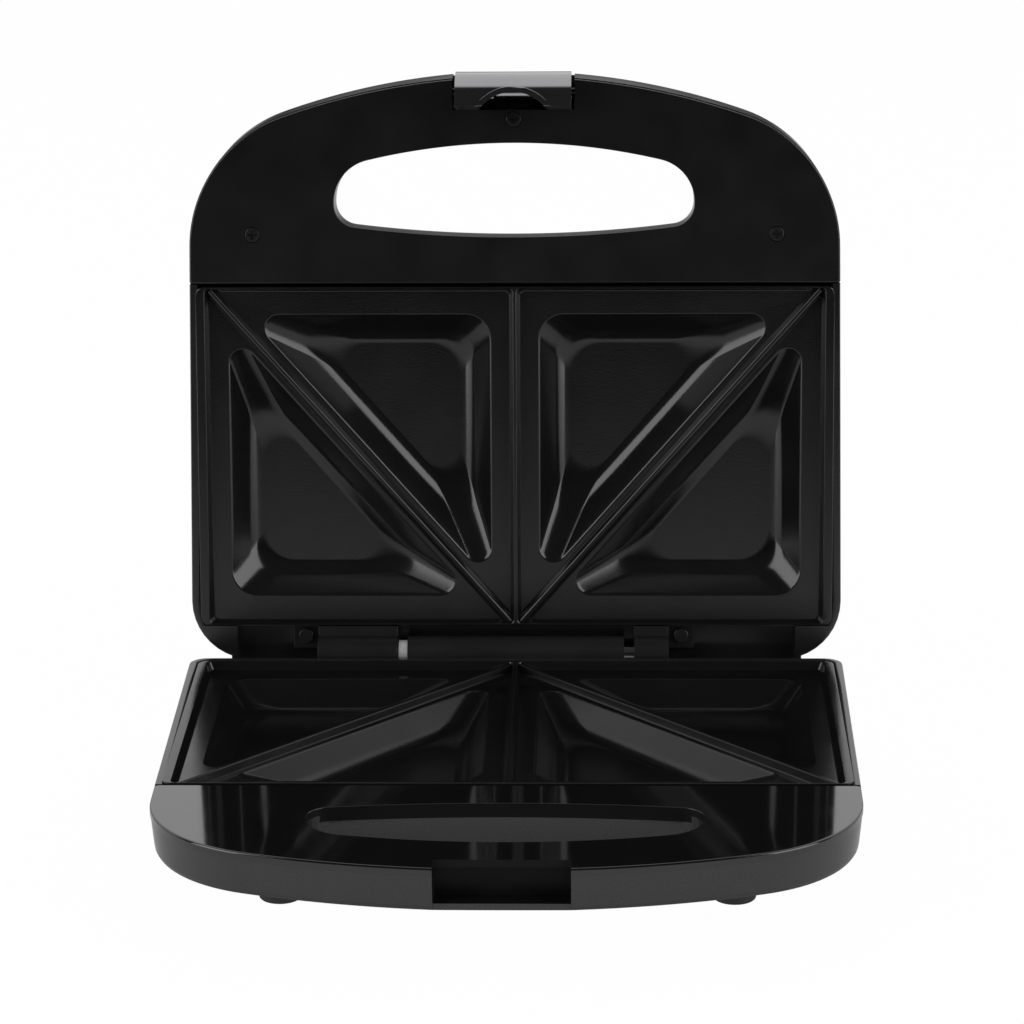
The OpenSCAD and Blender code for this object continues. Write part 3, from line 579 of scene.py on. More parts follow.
def drum(name: str, centre: tuple, radius: float, length: float, axis: str,
         bevel: float = 0.0) -> bpy.types.Object:
    """Makes a round bar with bevelled ends.

    Args:
        name: the object's name.
        centre: middle of its first end.
        radius: its radius.
        length: its length along the axis.
        axis: X, Y or Z.
        bevel: width of the bevel at both ends.

    Returns:
        The bar.
    """
    deselect()
    bpy.ops.mesh.primitive_cylinder_add(vertices=48, radius=radius, depth=length)
    piece = bpy.context.object
    piece.name = name
    turn = {"X": Matrix.Rotation(math.pi / 2, 4, "Y"), "Y": Matrix.Rotation(-math.pi / 2, 4, "X"),
            "Z": Matrix.Identity(4)}[axis]
    if bevel:
        apply_modifier(piece, "BEVEL", width=bevel, segments=3, limit_method="ANGLE")
    piece.data.transform(Matrix.Translation(centre) @ turn @ Matrix.Translation((0, 0, length / 2)))
    return piece


def smooth(piece: bpy.types.Object, angle: float = 32.0) -> None:
    """Shades round faces smooth and keeps flat faces flat.

    Args:
        piece: the object.
        angle: edges sharper than this stay sharp.
    """
    activate(piece)
    bpy.ops.object.shade_smooth_by_angle(angle=math.radians(angle))
    apply_modifier(piece, "WEIGHTED_NORMAL", mode="FACE_AREA", weight=60, keep_sharp=True)


def settle(piece: bpy.types.Object, half: Half, finish: Finish, nodes: tuple[str, ...],
           body: str | None = None) -> bpy.types.Object:
    """Places a finished piece on its body and gives it its finish.

    Args:
        piece: the object, in half-frame millimetres.
        half: the half that it belongs to.
        finish: its finish.
        nodes: the CAD nodes that it replaces.
        body: the body that it rides on, if not the half's own.

    Returns:
        The piece.
    """
    piece.data.transform(PLACE.matrix(half))
    outward(piece)
    smooth(piece)
    dress(piece, finish)
    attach(piece, body or half.value)
    if nodes:
        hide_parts(*nodes)
    log.info("%s: %d faces", piece.name, len(piece.data.polygons))
    return piece


def dress(piece: bpy.types.Object, finish: Finish) -> None:
    """Gives an object one material.

    Args:
        piece: the object.
        finish: its finish.
    """
    piece.data.materials.clear()
    piece.data.materials.append(finish.material())


def repaint(piece: bpy.types.Object, half: Half, finish: Finish,
            chosen: Callable[[Vector, Vector], bool]) -> None:
    """Gives some faces of a placed piece a second finish; here it is a darker black that paints shade.

    Args:
        piece: the object.
        half: the half that it belongs to.
        finish: the second finish.
        chosen: tells from a face's centre and normal, in the half frame, whether it gets the finish.
    """
    piece.data.materials.append(finish.material())
    back = PLACE.matrix(half).inverted()
    turn = back.to_3x3().normalized()
    for face in piece.data.polygons:
        face.material_index = int(chosen(back @ face.center, turn @ face.normal))


def arc(centre: Point, radius: float, start: float, end: float, steps: int) -> list[Point]:
    """Points along an arc.

    Args:
        centre: its centre.
        radius: its radius.
        start: first angle in degrees.
        end: last angle.
        steps: number of steps.

    Returns:
        The points.
    """
    angles = [math.radians(start + (end - start) * i / steps) for i in range(steps + 1)]
    return [(centre[0] + radius * math.cos(a), centre[1] + radius * math.sin(a)) for a in angles]


def at_depth(points: list[Point], depth: float) -> Ring:
    """Gives outline points a depth."""
    return [(x, q, depth) for x, q in points]


def round_corners(points: list[Point], radii: list[float], steps: int = 8) -> list[Point]:
    """Rounds each corner of a polygon with an arc.

    Args:
        points: the corners.
        radii: one radius for each.
        steps: steps of each arc.

    Returns:
        The rounded outline.
    """
    made: list[Point] = []
    for i, (here, radius) in enumerate(zip(points, radii)):
        b = Vector(here)
        u = (Vector(points[i - 1]) - b).normalized()
        w = (Vector(points[(i + 1) % len(points)]) - b).normalized()
        half = u.angle(w) / 2
        centre = b + (u + w).normalized() * radius / math.sin(half)
        start = b + u * radius / math.tan(half) - centre
        turn = math.copysign(180 - 2 * math.degrees(half), -(u.x * w.y - u.y * w.x))
        first = math.degrees(math.atan2(start.y, start.x))
        made += arc((centre.x, centre.y), radius, first, first + turn, steps)
    return made


def round_box(half: float, low: float, high: float, radius: float, steps: int = 8) -> list[Point]:
    """Rectangle with round corners, centred across."""
    return round_corners([(half, high), (-half, high), (-half, low), (half, low)], [radius] * 4, steps)


# ---------------------------------------------------------------- the two moulded halves


@dataclass(frozen=True)
class BodyOutline:
    """The outline that both halves share."""

    half_w: float = 112.6
    half_w_rear: float = 114.0
    reach: float = 201.2
    corner_r: float = 48.0
    front_r: float = 243.0
    handle_bar: float = 22.7
    hole_half: float = 62.2
    hole_q: float = 146.0
    hole_back_r: float = 439.0
    hole_front_r: float = 15.0
    hole_rear_r: float = 8.0
    panel_past: float = 0.15
    panel_r: float = 0.9

    @property
    def arc_q(self) -> float:
        """Centre of the bowed front."""
        return self.reach - self.front_r

    @property
    def tilt(self) -> float:
        """Angle from straight ahead at which the front meets the corners."""
        return math.degrees(math.asin((self.half_w - self.corner_r) / (self.front_r - self.corner_r)))

    @property
    def corner_q(self) -> float:
        """Centre of the front corners."""
        return self.arc_q + (self.front_r - self.corner_r) * math.cos(math.radians(self.tilt))

    def front(self, inset: float, lean: float = 0.0) -> list[Point]:
        """The two corners and the bowed front, from right to left, moved out by lean."""
        x = self.half_w - self.corner_r
        right = arc((x, self.corner_q + lean), self.corner_r - inset, 0, 90 - self.tilt, 22)
        bow = arc((0, self.arc_q + lean), self.front_r - inset, 90 - self.tilt, 90 + self.tilt, 48)
        left = arc((-x, self.corner_q + lean), self.corner_r - inset, 90 + self.tilt, 180, 22)
        return right + bow[1:-1] + left

    def ring(self, inset: float, rear_q: float, rear_r: float, lean: float = 0.0) -> list[Point]:
        """The whole outline, set in, but with its rear edge inset from rear_q."""
        x, q, r = self.half_w_rear - rear_r, rear_q + rear_r, max(rear_r - inset, 0.8)
        return self.front(inset, lean) + arc((-x, q), r, 180, 270, 10) + arc((x, q), r, 270, 360, 10)

    def panel(self, inset: float, back: float) -> list[Point]:
        """Outline of a handle panel whose straight back edge lies at back."""
        side = self.half_w + self.panel_past - inset
        r = self.panel_r
        left = arc((r - side, back + r), r, 180, 270, 4)
        right = arc((side - r, back + r), r, 270, 360, 4)
        return self.front(inset) + left + right

    def hole(self, grow: float) -> list[Point]:
        """Outline of the hand hole, grown outwards."""
        bow_r = self.front_r - self.handle_bar
        fx, rx = self.hole_half - self.hole_front_r, self.hole_half - self.hole_rear_r
        ft = math.degrees(math.asin(fx / (bow_r - self.hole_front_r)))
        rt = math.degrees(math.asin(rx / (self.hole_back_r - self.hole_rear_r)))
        fq = self.arc_q + (bow_r - self.hole_front_r) * math.cos(math.radians(ft))
        back = self.hole_q + self.hole_back_r
        rq = back - (self.hole_back_r - self.hole_rear_r) * math.cos(math.radians(rt))
        return (arc((fx, fq), self.hole_front_r + grow, 0, 90 - ft, 14)
                + arc((0, self.arc_q), bow_r + grow, 90 - ft, 90 + ft, 36)[1:-1]
                + arc((-fx, fq), self.hole_front_r + grow, 90 + ft, 180, 14)
                + arc((-rx, rq), self.hole_rear_r + grow, 180, 270 - rt, 12)
                + arc((0, back), self.hole_back_r + grow, 270 - rt, 270 + rt, 24)[1:-1]
                + arc((rx, rq), self.hole_rear_r + grow, 270 + rt, 360, 12))


OUTLINE = BodyOutline()


@dataclass
class Shell:
    """A moulded half: side walls, hand hole and the belly or dome behind the plate."""

    half: Half
    finish: Finish
    rear_q: float
    rear_r: float
    swell: list[tuple[float, float]]
    swell_box: tuple[float, float, float]
    rim_d: float = 0.15
    depth: float = 15.0
    wall: float = 2.2
    draft: float = 1.4
    lean: float = 0.0
    notch_half: float = NOTCH_HALF
    notch_q: float = 189.8
    panel_q: float = 129.85
    panel_d: float = 2.85

    def ring(self, inset: float, depth: float) -> Ring:
        """Outline at a depth, drafted; the rear wall stays upright."""
        slope, lean = self.draft * depth / self.depth, self.lean * depth / self.depth
        return at_depth(OUTLINE.ring(inset + slope, self.rear_q - slope, self.rear_r + slope, lean), depth)

    def tub(self) -> bpy.types.Object:
        """Lofts the wall: bottom, outside, rim, inside and floor."""
        floor = self.depth - self.wall
        edge = [(3.4, 0.0), (1.4, 0.12), (0.5, 0.55), (0.1, 1.3), (0.0, 2.2)]
        profile = [(inset, self.depth - rise) for inset, rise in edge]
        profile += [(0.0, 1.1), (0.06, 0.62), (0.25, 0.3), (0.6, self.rim_d), (2.0, self.rim_d), (2.65, 0.3),
                    (2.65, 4.9), (self.wall, 5.4), (self.wall, floor)]
        return loft(f"{self.half.value}_shell_body", [self.ring(i, d) for i, d in profile])

    def swelling(self, name: str, inset: float) -> bpy.types.Object:
        """Lofts the belly or dome from its inset and depth steps."""
        wide, low, high = self.swell_box
        rings = []
        for step, depth in self.swell:
            gone = step + inset
            radius = min(18 + 0.5 * step, (high - low) / 2 - gone - 1)
            outline = round_box(wide - gone, low + gone, high - gone, radius)
            rings.append(at_depth(outline, depth - inset * 0.9))
        return loft(name, rings)

    def hole_tube(self) -> bpy.types.Object:
        """Wall round the hand hole."""
        depths = (self.panel_d, self.depth - 0.4)
        return loft("hole_tube", [at_depth(OUTLINE.hole(self.wall), d) for d in depths])

    def hole_cutter(self) -> bpy.types.Object:
        """Hand hole with a rounded edge on the outer face."""
        steps = [(0.0, -2.0), (0.0, self.depth - 1.2), (0.12, self.depth - 0.6), (0.45, self.depth - 0.15),
                 (1.1, self.depth + 0.02), (1.6, self.depth + 1.0)]
        return loft("hole_cutter", [at_depth(OUTLINE.hole(g), d) for g, d in steps])

    def notch_wall(self) -> bpy.types.Object:
        """Solid that the latch's recess is cut from."""
        low, high = self.panel_d - 0.5, self.depth - 0.6
        wall = loft("notch_wall", [self.ring(0.3, d) for d in (low, high)])
        wide = self.notch_half + self.wall
        low_corner = (-wide, self.notch_q - self.wall, ABOVE)
        combine(wall, block("notch_range", low_corner, (wide, FAR, 40)), "INTERSECT")
        return wall

    def build(self) -> bpy.types.Object:
        """Models the half.

        Returns:
            The shell, in half-frame millimetres.
        """
        shell = self.tub()
        combine(shell, self.swelling("swelling", 0.0), "UNION")
        combine(shell, self.swelling("swelling_inside", self.wall), "DIFFERENCE")
        combine(shell, self.hole_tube(), "UNION")
        combine(shell, self.notch_wall(), "UNION")
        combine(shell, self.hole_cutter(), "DIFFERENCE")
        seat = block("panel_seat", (-FAR, self.panel_q, ABOVE), (FAR, FAR, self.panel_d))
        combine(shell, seat, "DIFFERENCE")
        return shell


@dataclass
class BaseShell(Shell):
    """The base, with its latch recess, foot posts and inlet hole."""

    half: Half = Half.BASE
    finish: Finish = SATIN_SHELL
    rear_q: float = 6.2
    rear_r: float = 6.0
    swell: list[tuple[float, float]] = field(default_factory=lambda: [
        (0.0, 12.0), (2.0, 18.0), (4.4, 25.0), (6.2, 28.8), (8.4, 30.8), (11.0, 31.7), (14.0, 32.0)])
    swell_box: tuple[float, float, float] = (108.0, 9.0, 136.9)
    ledge_q: float = 197.5
    post: tuple[float, float, float] = (72.5, 136.5, 6.3)
    floor_d: float = 31.98
    screw_posts: tuple[float, tuple[float, float]] = (58.0, (13.0, 125.4))
    screw_post_r: float = 4.4
    screw_seat: tuple[float, float] = (30.2, 2.8)
    gland: tuple[float, float, float] = (82.0, 20.0, 5.55)

    def dressed(self) -> None:
        """Builds, cuts and places the base shell."""
        shell = self.build()
        x, q, r = self.post
        top = self.depth - 2
        for side in (-1, 1):
            combine(shell, drum("post", (side * x, q, top), r, self.floor_d - top, "Z", EDGE), "UNION")
        self.add_screw_posts(shell)
        wide = self.notch_half
        recess = block("recess", (-wide, self.notch_q, ABOVE), (wide, FAR, self.depth - self.wall), EDGE)
        combine(shell, recess, "DIFFERENCE")
        foot = block("recess_foot", (-wide, self.ledge_q, ABOVE), (wide, FAR, 30), EDGE)
        combine(shell, foot, "DIFFERENCE")
        gx, gd, gr = self.gland
        combine(shell, drum("inlet", (gx, 2, gd), gr, 12, "Y"), "DIFFERENCE")
        combine(shell, self.flange_seat(), "DIFFERENCE")
        shell.name = "base_shell_moulding"
        settle(shell, self.half, self.finish, ("base_shell",))
        # Painted shade: the faces inside the latch's recess take the darker, duller black.
        repaint(shell, self.half, PAINTED_SHADE_BLACK, self.shaded_recess_faces)

    def add_screw_posts(self, shell: bpy.types.Object) -> None:
        """Adds the four posts round the plate's screws, each with a seat for the screw's head."""
        x, places = self.screw_posts
        head_d, head_r = self.screw_seat
        top = self.depth - 3
        for side, q in ((side, q) for side in (-1, 1) for q in places):
            post = drum("screw_post", (side * x, q, top), self.screw_post_r, self.floor_d - top, "Z", 0.4)
            combine(shell, post, "UNION")
            combine(shell, drum("screw_seat", (side * x, q, head_d), head_r, 6, "Z"), "DIFFERENCE")

    def shaded_recess_faces(self, centre: Vector, normal: Vector) -> bool:
        """Tells the faces inside the latch's recess, which get the darker black as painted shade."""
        floor = self.depth - self.wall + 0.1
        inside = self.notch_q - 2.8 < centre.y < self.ledge_q - 0.05 and centre.z < floor
        return abs(centre.x) < self.notch_half + 0.1 and inside

    def flange_seat(self) -> bpy.types.Object:
        """Seat of the panel's flange along the back of the hole."""
        return loft("flange_seat", [at_depth(flange_outline(1.25), d) for d in (-2, self.panel_d + 2.2)])


def flange_outline(grow: float, sweep: float = 27.0) -> list[Point]:
    """Outline of the strip along the back edge of the hand hole, round part of its corners."""
    r, back_r = OUTLINE.hole_rear_r, OUTLINE.hole_back_r
    rx = OUTLINE.hole_half - r
    rt = math.degrees(math.asin(rx / (back_r - r)))
    back = OUTLINE.hole_q + back_r
    rq = back - (back_r - r) * math.cos(math.radians(rt))
    edge = (arc((-rx, rq), r + grow, 270 - sweep, 270 - rt, 5)[:-1]
            + arc((0, back), back_r + grow, 270 - rt, 270 + rt, 24)
            + arc((rx, rq), r + grow, 270 + rt, 270 + sweep, 5)[1:])
    return edge + [(edge[-1][0], rq + 2), (edge[0][0], rq + 2)]


@dataclass
class LidShell(Shell):
    """The lid's cover, with its dome, latch notch and the recessed strip behind the hinge."""

    half: Half = Half.LID
    finish: Finish = LID_SHELL
    rear_q: float = -3.0
    rear_r: float = 21.0
    lean: float = 2.8
    swell: list[tuple[float, float]] = field(default_factory=lambda: [
        (0.0, 12.0), (1.6, 18.0), (3.6, 24.0), (6.0, 28.6), (9.2, 31.6), (14.0, 33.6), (22.0, 34.9),
        (34.0, 35.7), (46.0, 36.0)])
    swell_box: tuple[float, float, float] = (108.4, -0.5, 136.6)
    lip_q: float = -6.5
    strip_half: float = 98.0
    strip_d: float = 6.5
    plate_q: float = 9.15
    cheek_q: float = -2.6
    lamp: tuple[float, float, float] = (11.0, 98.0, 4.05)
    lamp_reach: tuple[float, float] = (28.0, 12.0)

    def dressed(self) -> None:
        """Builds, cuts and places the lid shell."""
        shell = self.build()
        wide, wall = self.strip_half, self.wall
        room = block("strip_room", (-wide, -20, ABOVE), (wide, self.plate_q, self.strip_d), EDGE)
        combine(shell, room, "DIFFERENCE")
        over = wide + wall
        strip = block("strip", (-over, self.lip_q, self.strip_d), (over, 12, self.strip_d + wall), EDGE)
        combine(shell, strip, "UNION")
        for side in (-1, 1):
            combine(shell, self.corner_cover(side), "UNION")
        out = self.notch_half + wall
        combine(shell, block("notch_back", (-out, self.notch_q - wall, self.depth - wall),
                             (out, OUTLINE.reach - 0.4, self.depth + wall), 0.5), "UNION")
        wide = self.notch_half
        notch = block("notch", (-wide, self.notch_q, ABOVE), (wide, FAR, self.depth), EDGE)
        combine(shell, notch, "DIFFERENCE")
        x, q, r = self.lamp
        start, length = self.lamp_reach
        for side in (-1, 1):
            combine(shell, drum("lamp_hole", (side * x, q, start), r, length, "Z"), "DIFFERENCE")
        shell.name = "lid_shell_moulding"
        settle(shell, self.half, self.finish, ("lid_shell",))

    def corner_cover(self, side: int) -> bpy.types.Object:
        """Closes a rear corner beside the strip.

        Args:
            side: -1 for the left, 1 for the right.

        Returns:
            The cover.
        """
        cover = loft("corner_cover", [self.ring(1.2, d) for d in (self.rim_d, self.rim_d + self.wall)])
        near, far = sorted((side * self.strip_half, side * 140))
        combine(cover, block("cover_range", (near, -30, ABOVE), (far, self.plate_q, 20)), "INTERSECT")
        near, far = sorted((side * self.strip_half, side * (self.strip_half + self.wall)))
        cheek = block("cheek", (near, self.cheek_q, self.rim_d), (far, self.plate_q, self.strip_d + 1), 0.2)
        combine(cover, cheek, "UNION")
        return cover


@dataclass
class Panel:
    """A handle panel with a rounded edge, the hand hole and the latch's gap."""

    half: Half
    finish: Finish
    front_q: float
    back_q: float = 129.9
    top: float = 0.3
    thick: float = 2.5
    rim: float = 0.1
    notch_half: float = NOTCH_HALF

    def body(self) -> bpy.types.Object:
        """Lofts the plate of the panel and cuts its openings."""
        profile = [(0.0, self.thick), (0.0, 0.7), (0.1, 0.35), (0.35, 0.1), (0.7, 0.0)]
        panel = loft("panel", [at_depth(OUTLINE.panel(self.rim + i, self.back_q + i), self.top + d)
                               for i, d in profile])
        steps = [(1.2, -1.0), (0.26, -0.01), (0.1, 0.06), (0.02, 0.16), (0.0, 0.3), (0.0, self.thick + 6)]
        hole = loft("hole", [at_depth(OUTLINE.hole(grow), self.top + d) for grow, d in steps])
        combine(panel, hole, "DIFFERENCE")
        gap = block("gap", (-self.notch_half, self.front_q, ABOVE), (self.notch_half, FAR, 20), 0.35)
        combine(panel, gap, "DIFFERENCE")
        return panel


@dataclass
class BasePanel(Panel):
    """The base's polished panel, with a flange down the back of the hole."""

    half: Half = Half.BASE
    finish: Finish = GLOSS_PANEL
    front_q: float = 193.0
    drop: float = 2.2

    def dressed(self) -> None:
        """Builds and places the panel."""
        panel = self.body()
        low, high = self.top + self.thick - 0.5, self.top + self.thick + self.drop
        flange = loft("flange", [at_depth(flange_outline(1.2), d) for d in (low, high)])
        inner = loft("inner", [at_depth(OUTLINE.hole(0.0), d) for d in (low - 2, low + 9)])
        combine(flange, inner, "DIFFERENCE")
        combine(panel, flange, "UNION")
        panel.name = "base_panel_moulding"
        settle(panel, self.half, self.finish, ("base_panel",))
        # Painted shade: the upright faces in the hand hole, the flange among them, and in the latch gap take
        # the darker, duller black.
        repaint(panel, self.half, PAINTED_SHADE_BLACK, self.shaded_upright_faces)

    @staticmethod
    def shaded_upright_faces(centre: Vector, normal: Vector) -> bool:
        """Tells the upright faces in the hand hole and the gap, which get the darker black as painted shade.
        """
        in_hole = abs(centre.x) < OUTLINE.hole_half + 1.3 and 140 < centre.y < 181
        in_gap = abs(centre.x) < NOTCH_HALF + 0.2 and centre.y > 190
        return abs(normal.z) < 0.6 and (in_hole or in_gap)


@dataclass
class LidPanel(Panel):
    """The lid's satin panel, with three screw seats."""

    half: Half = Half.LID
    finish: Finish = LID_PANEL
    front_q: float = 189.8
    seat_r: float = 2.75
    shank_r: float = 1.55

    def dressed(self) -> None:
        """Builds and places the panel."""
        panel = self.body()
        for x, q in SCREW_PLACES:
            combine(panel, drum("seat", (x, q, -2), self.seat_r, self.top + 3.7, "Z"), "DIFFERENCE")
            combine(panel, drum("shank_hole", (x, q, -2), self.shank_r, 9, "Z"), "DIFFERENCE")
        panel.name = "lid_panel_moulding"
        settle(panel, self.half, self.finish, ("lid_panel",))


# ---------------------------------------------------------------- cast plates


@dataclass(frozen=True)
class Plate:
    """A cast plate: rim, land, divider, two diagonals and four triangular pockets."""

    half: Half
    finish: Finish = COATING
    half_w: float = 111.0
    q0: float = 9.2
    length: float = 119.7
    corner: float = 3.0
    rim_d: float = 0.15
    flange: float = 5.0
    land: float = 3.2
    pocket_d: float = 9.0
    casting: float = 3.0
    side: float = 11.7
    low: float = 11.0
    high: float = 10.5
    middle: float = 8.8
    gap: float = 4.3
    tip_r: float = 4.5
    square_r: float = 8.5
    ridge_out: Point = (7.0, 3.5)
    ridge_in: Point = (4.0, 3.6)
    foot_in: float = 4.7
    foot_d: float = 3.3
    foot_r: float = 2.7
    foot_steps: int = 9

    @property
    def slope(self) -> float:
        """Rise of the left diagonal."""
        return (self.ridge_in[1] - self.length + self.ridge_out[1]) / (self.half_w - self.ridge_out[0]
                                                                        - self.ridge_in[0])

    def diagonal(self, x: float, off: float) -> float:
        """Distance from the hinge side of the line beside the left diagonal, at x."""
        start = self.ridge_out[0] - self.half_w
        return self.length - self.ridge_out[1] + self.slope * (x - start) + off * math.hypot(1, self.slope)

    def diagonal_x(self, p: float, off: float) -> float:
        """The same line's x at a distance from the hinge side."""
        start = self.ridge_out[0] - self.half_w
        return start + (p - off * math.hypot(1, self.slope) - self.length + self.ridge_out[1]) / self.slope

    def pocket(self, outer: bool, inset: float, mirrored: bool) -> list[Point]:
        """Rounded outline of one pocket, set in.

        Args:
            outer: the outer pocket, or else the one by the divider.
            inset: distance that every side moves in.
            mirrored: the right half's pocket.

        Returns:
            The outline, from the hinge axis.
        """
        if outer:
            x, p, off = self.side - self.half_w + inset, self.low + inset, -self.gap - inset
        else:
            x, p, off = -self.middle - inset, self.length - self.high - inset, self.gap + inset
        corners = [(x, p), (self.diagonal_x(p, off), p), (x, self.diagonal(x, off))]
        soft = abs(inset) if inset < 0 else 0.25 * inset
        made = round_corners(corners, [self.square_r + soft, self.tip_r + soft, self.tip_r + soft], 10)
        flip = -1 if mirrored else 1
        return [(flip * a, b + self.q0) for a, b in made]

    def slab(self) -> bpy.types.Object:
        """Lofts the plate's slab with a rounded rim."""
        profile = [(0.0, self.flange), (0.0, 0.75), (0.08, 0.4), (0.3, 0.2), (0.55, self.rim_d)]
        rings = [at_depth(round_box(self.half_w - i, self.q0 + i, self.q0 + self.length - i, self.corner), d)
                 for i, d in profile]
        return loft("plate_slab", rings)

    def land_cutter(self, mirrored: bool) -> bpy.types.Object:
        """Recess of one half, with sloped sides and a soft foot."""
        top, flip = self.rim_d, -1 if mirrored else 1
        steps = [(-0.9, -0.8), (0.0, top), (0.25, top + 0.12), (0.5, top + 0.5), (1.25, self.land - 0.5),
                 (1.55, self.land - 0.12), (2.0, self.land)]
        rings = []
        for inset, depth in steps:
            outer, inner = -self.half_w + 3.1 + inset, -0.35 - inset
            side_low, side_high = self.q0 + 0.45 + inset * 0.75, self.q0 + self.length - 0.45 - inset * 0.75
            corners = [(inner, side_high), (outer, side_high), (outer, side_low), (inner, side_low)]
            ring = round_corners(corners, [1.6] * 4, 5)
            rings.append([(flip * x, q, depth) for x, q in ring])
        return loft("land", rings)

    def ridge(self, mirrored: bool) -> bpy.types.Object:
        """Diagonal ridge with a rounded crest, whose ends run into the rim."""
        flip = -1 if mirrored else 1
        a = Vector((self.ridge_out[0] - self.half_w, self.q0 + self.length - self.ridge_out[1]))
        b = Vector((-self.ridge_in[0], self.q0 + self.ridge_in[1]))
        along = (b - a).normalized()
        across = Vector((-along.y, along.x))
        section = [(-2.6, 4.4), (-2.2, self.land), (-1.7, 2.7), (-1.05, 1.35), (-0.7, 0.85), (-0.3, 0.66),
                   (0.3, 0.66), (0.7, 0.85), (1.05, 1.35), (1.7, 2.7), (2.2, self.land), (2.6, 4.4)]
        rings = []
        for place in (a - along * 2.8, b + along * 3.0):
            points = [place + across * w for w, _ in section]
            rings.append([(flip * p.x, p.y, d) for p, (_, d) in zip(points, section)])
        return loft("ridge", rings)

    def tray(self, outer: bool, mirrored: bool) -> bpy.types.Object:
        """Outside of a pocket under the plate."""
        floor = self.land + self.pocket_d + self.casting
        steps = [(0.0, self.land + 0.8), (0.3, floor - 2.5), (2.4, floor)]
        return loft("tray", [at_depth(self.pocket(outer, i - self.casting, mirrored), d) for i, d in steps])

    def pocket_cutter(self, outer: bool, mirrored: bool) -> bpy.types.Object:
        """Pocket with a rounded lip, a sloping wall and a rounded foot."""
        lip = [(-1.5, -0.75), (-0.85, 0.0), (-0.5, 0.06), (-0.15, 0.28), (0.25, 0.75)]
        profile = [(inset, self.land + fall) for inset, fall in lip]
        middle = self.foot_in + self.foot_r
        end = self.foot_in + 2.2 * self.foot_r
        for t in (k / self.foot_steps for k in range(self.foot_steps + 1)):
            inset = (1 - t) ** 2 * self.foot_in + 2 * t * (1 - t) * middle + t * t * end
            profile.append((inset, self.land + self.pocket_d - (1 - t) ** 2 * self.foot_d))
        return loft("pocket", [at_depth(self.pocket(outer, i, mirrored), d) for i, d in profile])

    def dressed(self) -> None:
        """Models and places the plate."""
        plate = self.slab()
        for mirrored in (False, True):
            for outer in (False, True):
                combine(plate, self.tray(outer, mirrored), "UNION")
            combine(plate, self.land_cutter(mirrored), "DIFFERENCE")
            combine(plate, self.ridge(mirrored), "UNION")
        for mirrored in (False, True):
            for outer in (False, True):
                combine(plate, self.pocket_cutter(outer, mirrored), "DIFFERENCE")
        plate.name = f"{self.half.value}_plate_casting"
        settle(plate, self.half, self.finish, (f"{self.half.value}_plate",))


# ---------------------------------------------------------------- screws, hinge, latch and the rest


@dataclass(frozen=True)
class PanelScrews:
    """The lid panel's three cross-head screws."""

    head_r: float = 2.6
    head_top: float = 0.4
    head_h: float = 1.6
    shank_r: float = 1.5
    tip: float = 11.8

    def one(self, x: float, q: float) -> bpy.types.Object:
        """Models a screw: domed head, shank and a cross recess."""
        head = drum("screw", (x, q, self.head_top), self.head_r, self.head_h, "Z", 0.35)
        start = self.head_top + 1.0
        combine(head, drum("shank", (x, q, start), self.shank_r, self.tip - start, "Z", EDGE), "UNION")
        for long_x, long_q in ((1.5, 0.32), (0.32, 1.5)):
            combine(head, block("slot", (x - long_x, q - long_q, self.head_top - 1),
                                (x + long_x, q + long_q, self.head_top + 0.95)), "DIFFERENCE")
        return head

    def dressed(self) -> None:
        """Makes all three and places them as one piece."""
        made = [self.one(x, q) for x, q in SCREW_PLACES]
        for other in made[1:]:
            combine(made[0], other, "UNION")
        made[0].name = "lid_panel_screw_set"
        settle(made[0], Half.LID, DARK_SCREW, ("lid_panel_screws",))


@dataclass(frozen=True)
class ThumbRim:
    """The raised rim round the latch's thumb cut-out."""

    nose: Point = (184.7, 4.3)
    nose_r: float = 18.0
    raised: float = 0.45
    hole_q: float = 182.2
    hole_r: float = 14.4
    width: float = 1.9
    half_w: float = 19.4
    low_q: float = 192.2

    def dressed(self) -> None:
        """Builds the rim and lets it ride the latch."""
        rim = drum("thumb_rim", (0, self.hole_q, -16), self.hole_r + self.width, 18, "Z")
        combine(rim, drum("thumb_hole", (0, self.hole_q, -20), self.hole_r, 26, "Z"), "DIFFERENCE")
        q, d = self.nose
        nose = drum("nose", (-self.half_w, q, d), self.nose_r + self.raised, 2 * self.half_w, "X")
        combine(rim, nose, "INTERSECT")
        combine(rim, drum("nose_inside", (-40, q, d), self.nose_r - 1.2, 80, "X"), "DIFFERENCE")
        combine(rim, block("rim_range", (-30, self.low_q, -20), (30, 210, 2)), "INTERSECT")
        apply_modifier(rim, "BEVEL", width=0.2, segments=2, limit_method="ANGLE")
        rim.name = "latch_thumb_rim"
        settle(rim, Half.LID, SILVER, (), "latch")


def refined(node: str, name: str, finish: Finish, slot: str, width: float) -> None:
    """Replaces a node with a copy of it whose edges are bevelled.

    Args:
        node: the CAD node.
        name: the new piece's name.
        finish: its finish.
        slot: the record's slot; not used.
        width: width of the bevel in millimetres.
    """
    source = frame["nodes"][node]
    piece = bpy.data.objects.new(name, source.data.copy())
    bpy.context.scene.collection.objects.link(piece)
    activate(piece)
    bpy.ops.object.mode_set(mode="EDIT")
    bpy.ops.mesh.select_all(action="SELECT")
    bpy.ops.mesh.remove_doubles(threshold=0.002 * MM)
    bpy.ops.mesh.dissolve_limited(angle_limit=math.radians(0.5))
    bpy.ops.object.mode_set(mode="OBJECT")
    apply_modifier(piece, "BEVEL", width=width * MM, segments=3, limit_method="ANGLE",
                   angle_limit=math.radians(35), use_clamp_overlap=True)
    outward(piece)
    smooth(piece)
    dress(piece, finish)
    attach(piece, source["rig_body"])
    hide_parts(node)
    log.info("%s: %d faces", name, len(piece.data.polygons))


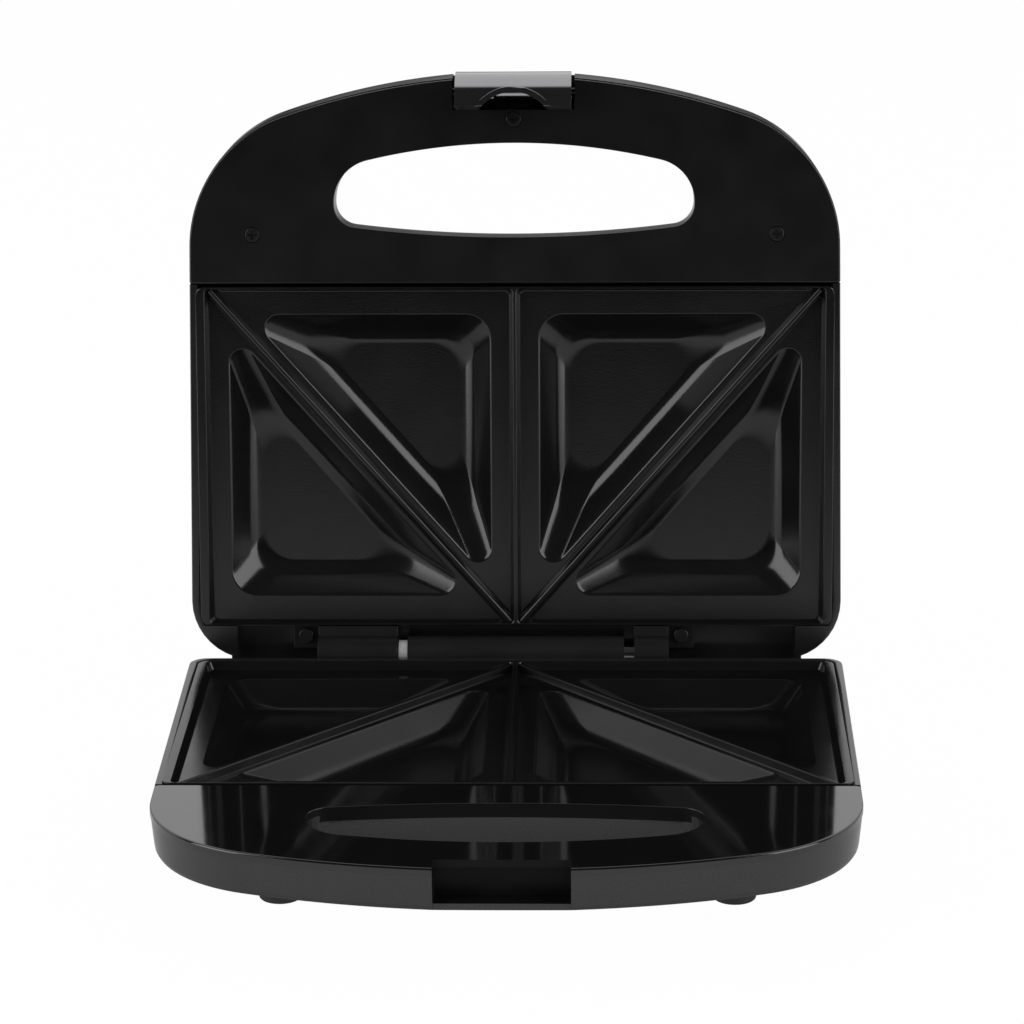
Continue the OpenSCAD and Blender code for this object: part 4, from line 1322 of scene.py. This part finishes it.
HINGE_PIECES = (
    ("left_knuckle", "left_knuckle_moulding", HINGE_PLASTIC, "hinge_plastic", 0.35),
    ("right_knuckle", "right_knuckle_moulding", HINGE_PLASTIC, "hinge_plastic", 0.35),
    ("hinge_barrel", "hinge_barrel_moulding", HINGE_PLASTIC, "hinge_plastic", 0.35),
    ("latch", "latch_moulding", SILVER, "latch_silver", 0.5),
)
SMALL_PIECES = (
    ("knuckle_screws", "knuckle_screw_heads", DARK_SCREW, "dark_screw", 0.3),
    ("front_feet", "front_foot_pads", RUBBER, "foot_rubber", 0.8),
    ("rear_feet", "rear_foot_pads", RUBBER, "foot_rubber", 0.8),
    ("cord_gland", "inlet_bush", RUBBER, "gland_rubber", 0.4),
    ("power_lamp", "power_lens", RED_LENS, "red_lens", 0.5),
    ("ready_lamp", "ready_lens", GREEN_LENS, "green_lens", 0.5),
)
CAD_FINISHES = {
    "base_heater": HEATER_STEEL, "lid_heater": HEATER_STEEL, "base_reflector": SHEET, "lid_reflector": SHEET,
    "thermostat": SHEET, "thermal_fuse": PALE_NYLON, "terminal_block": PALE_NYLON, "base_wiring": WIRE,
    "lid_wiring": WIRE, "lamp_holder": PALE_NYLON, "hinge_screws": ZINC_SCREW, "hinge_pin": PIN_STEEL,
    "hinge_sleeve": SLEEVE, "base_panel_screws": ZINC_SCREW, "base_plate_screws": ZINC_SCREW,
    "latch_pin": DARK_SCREW, "latch_spring": PIN_STEEL,
}


def main() -> None:
    """Builds the studio and every piece."""
    logging.basicConfig(level=logging.INFO, format="%(message)s")
    bpy.context.scene.view_settings.view_transform = "Standard"
    Shot().make()
    studio = Studio()
    studio.light()
    studio.floor()
    BaseShell().dressed()
    LidShell().dressed()
    BasePanel().dressed()
    LidPanel().dressed()
    # The base plate takes the darker copy of the coating, which paints shade.
    Plate(Half.BASE, SHADED_BASE_COATING).dressed()
    Plate(Half.LID).dressed()
    PanelScrews().dressed()
    for row in HINGE_PIECES:
        refined(*row)
    ThumbRim().dressed()
    for row in SMALL_PIECES:
        refined(*row)
    for node, finish in CAD_FINISHES.items():
        dress(frame["nodes"][node], finish)


if __name__ == "__main__":
    main()
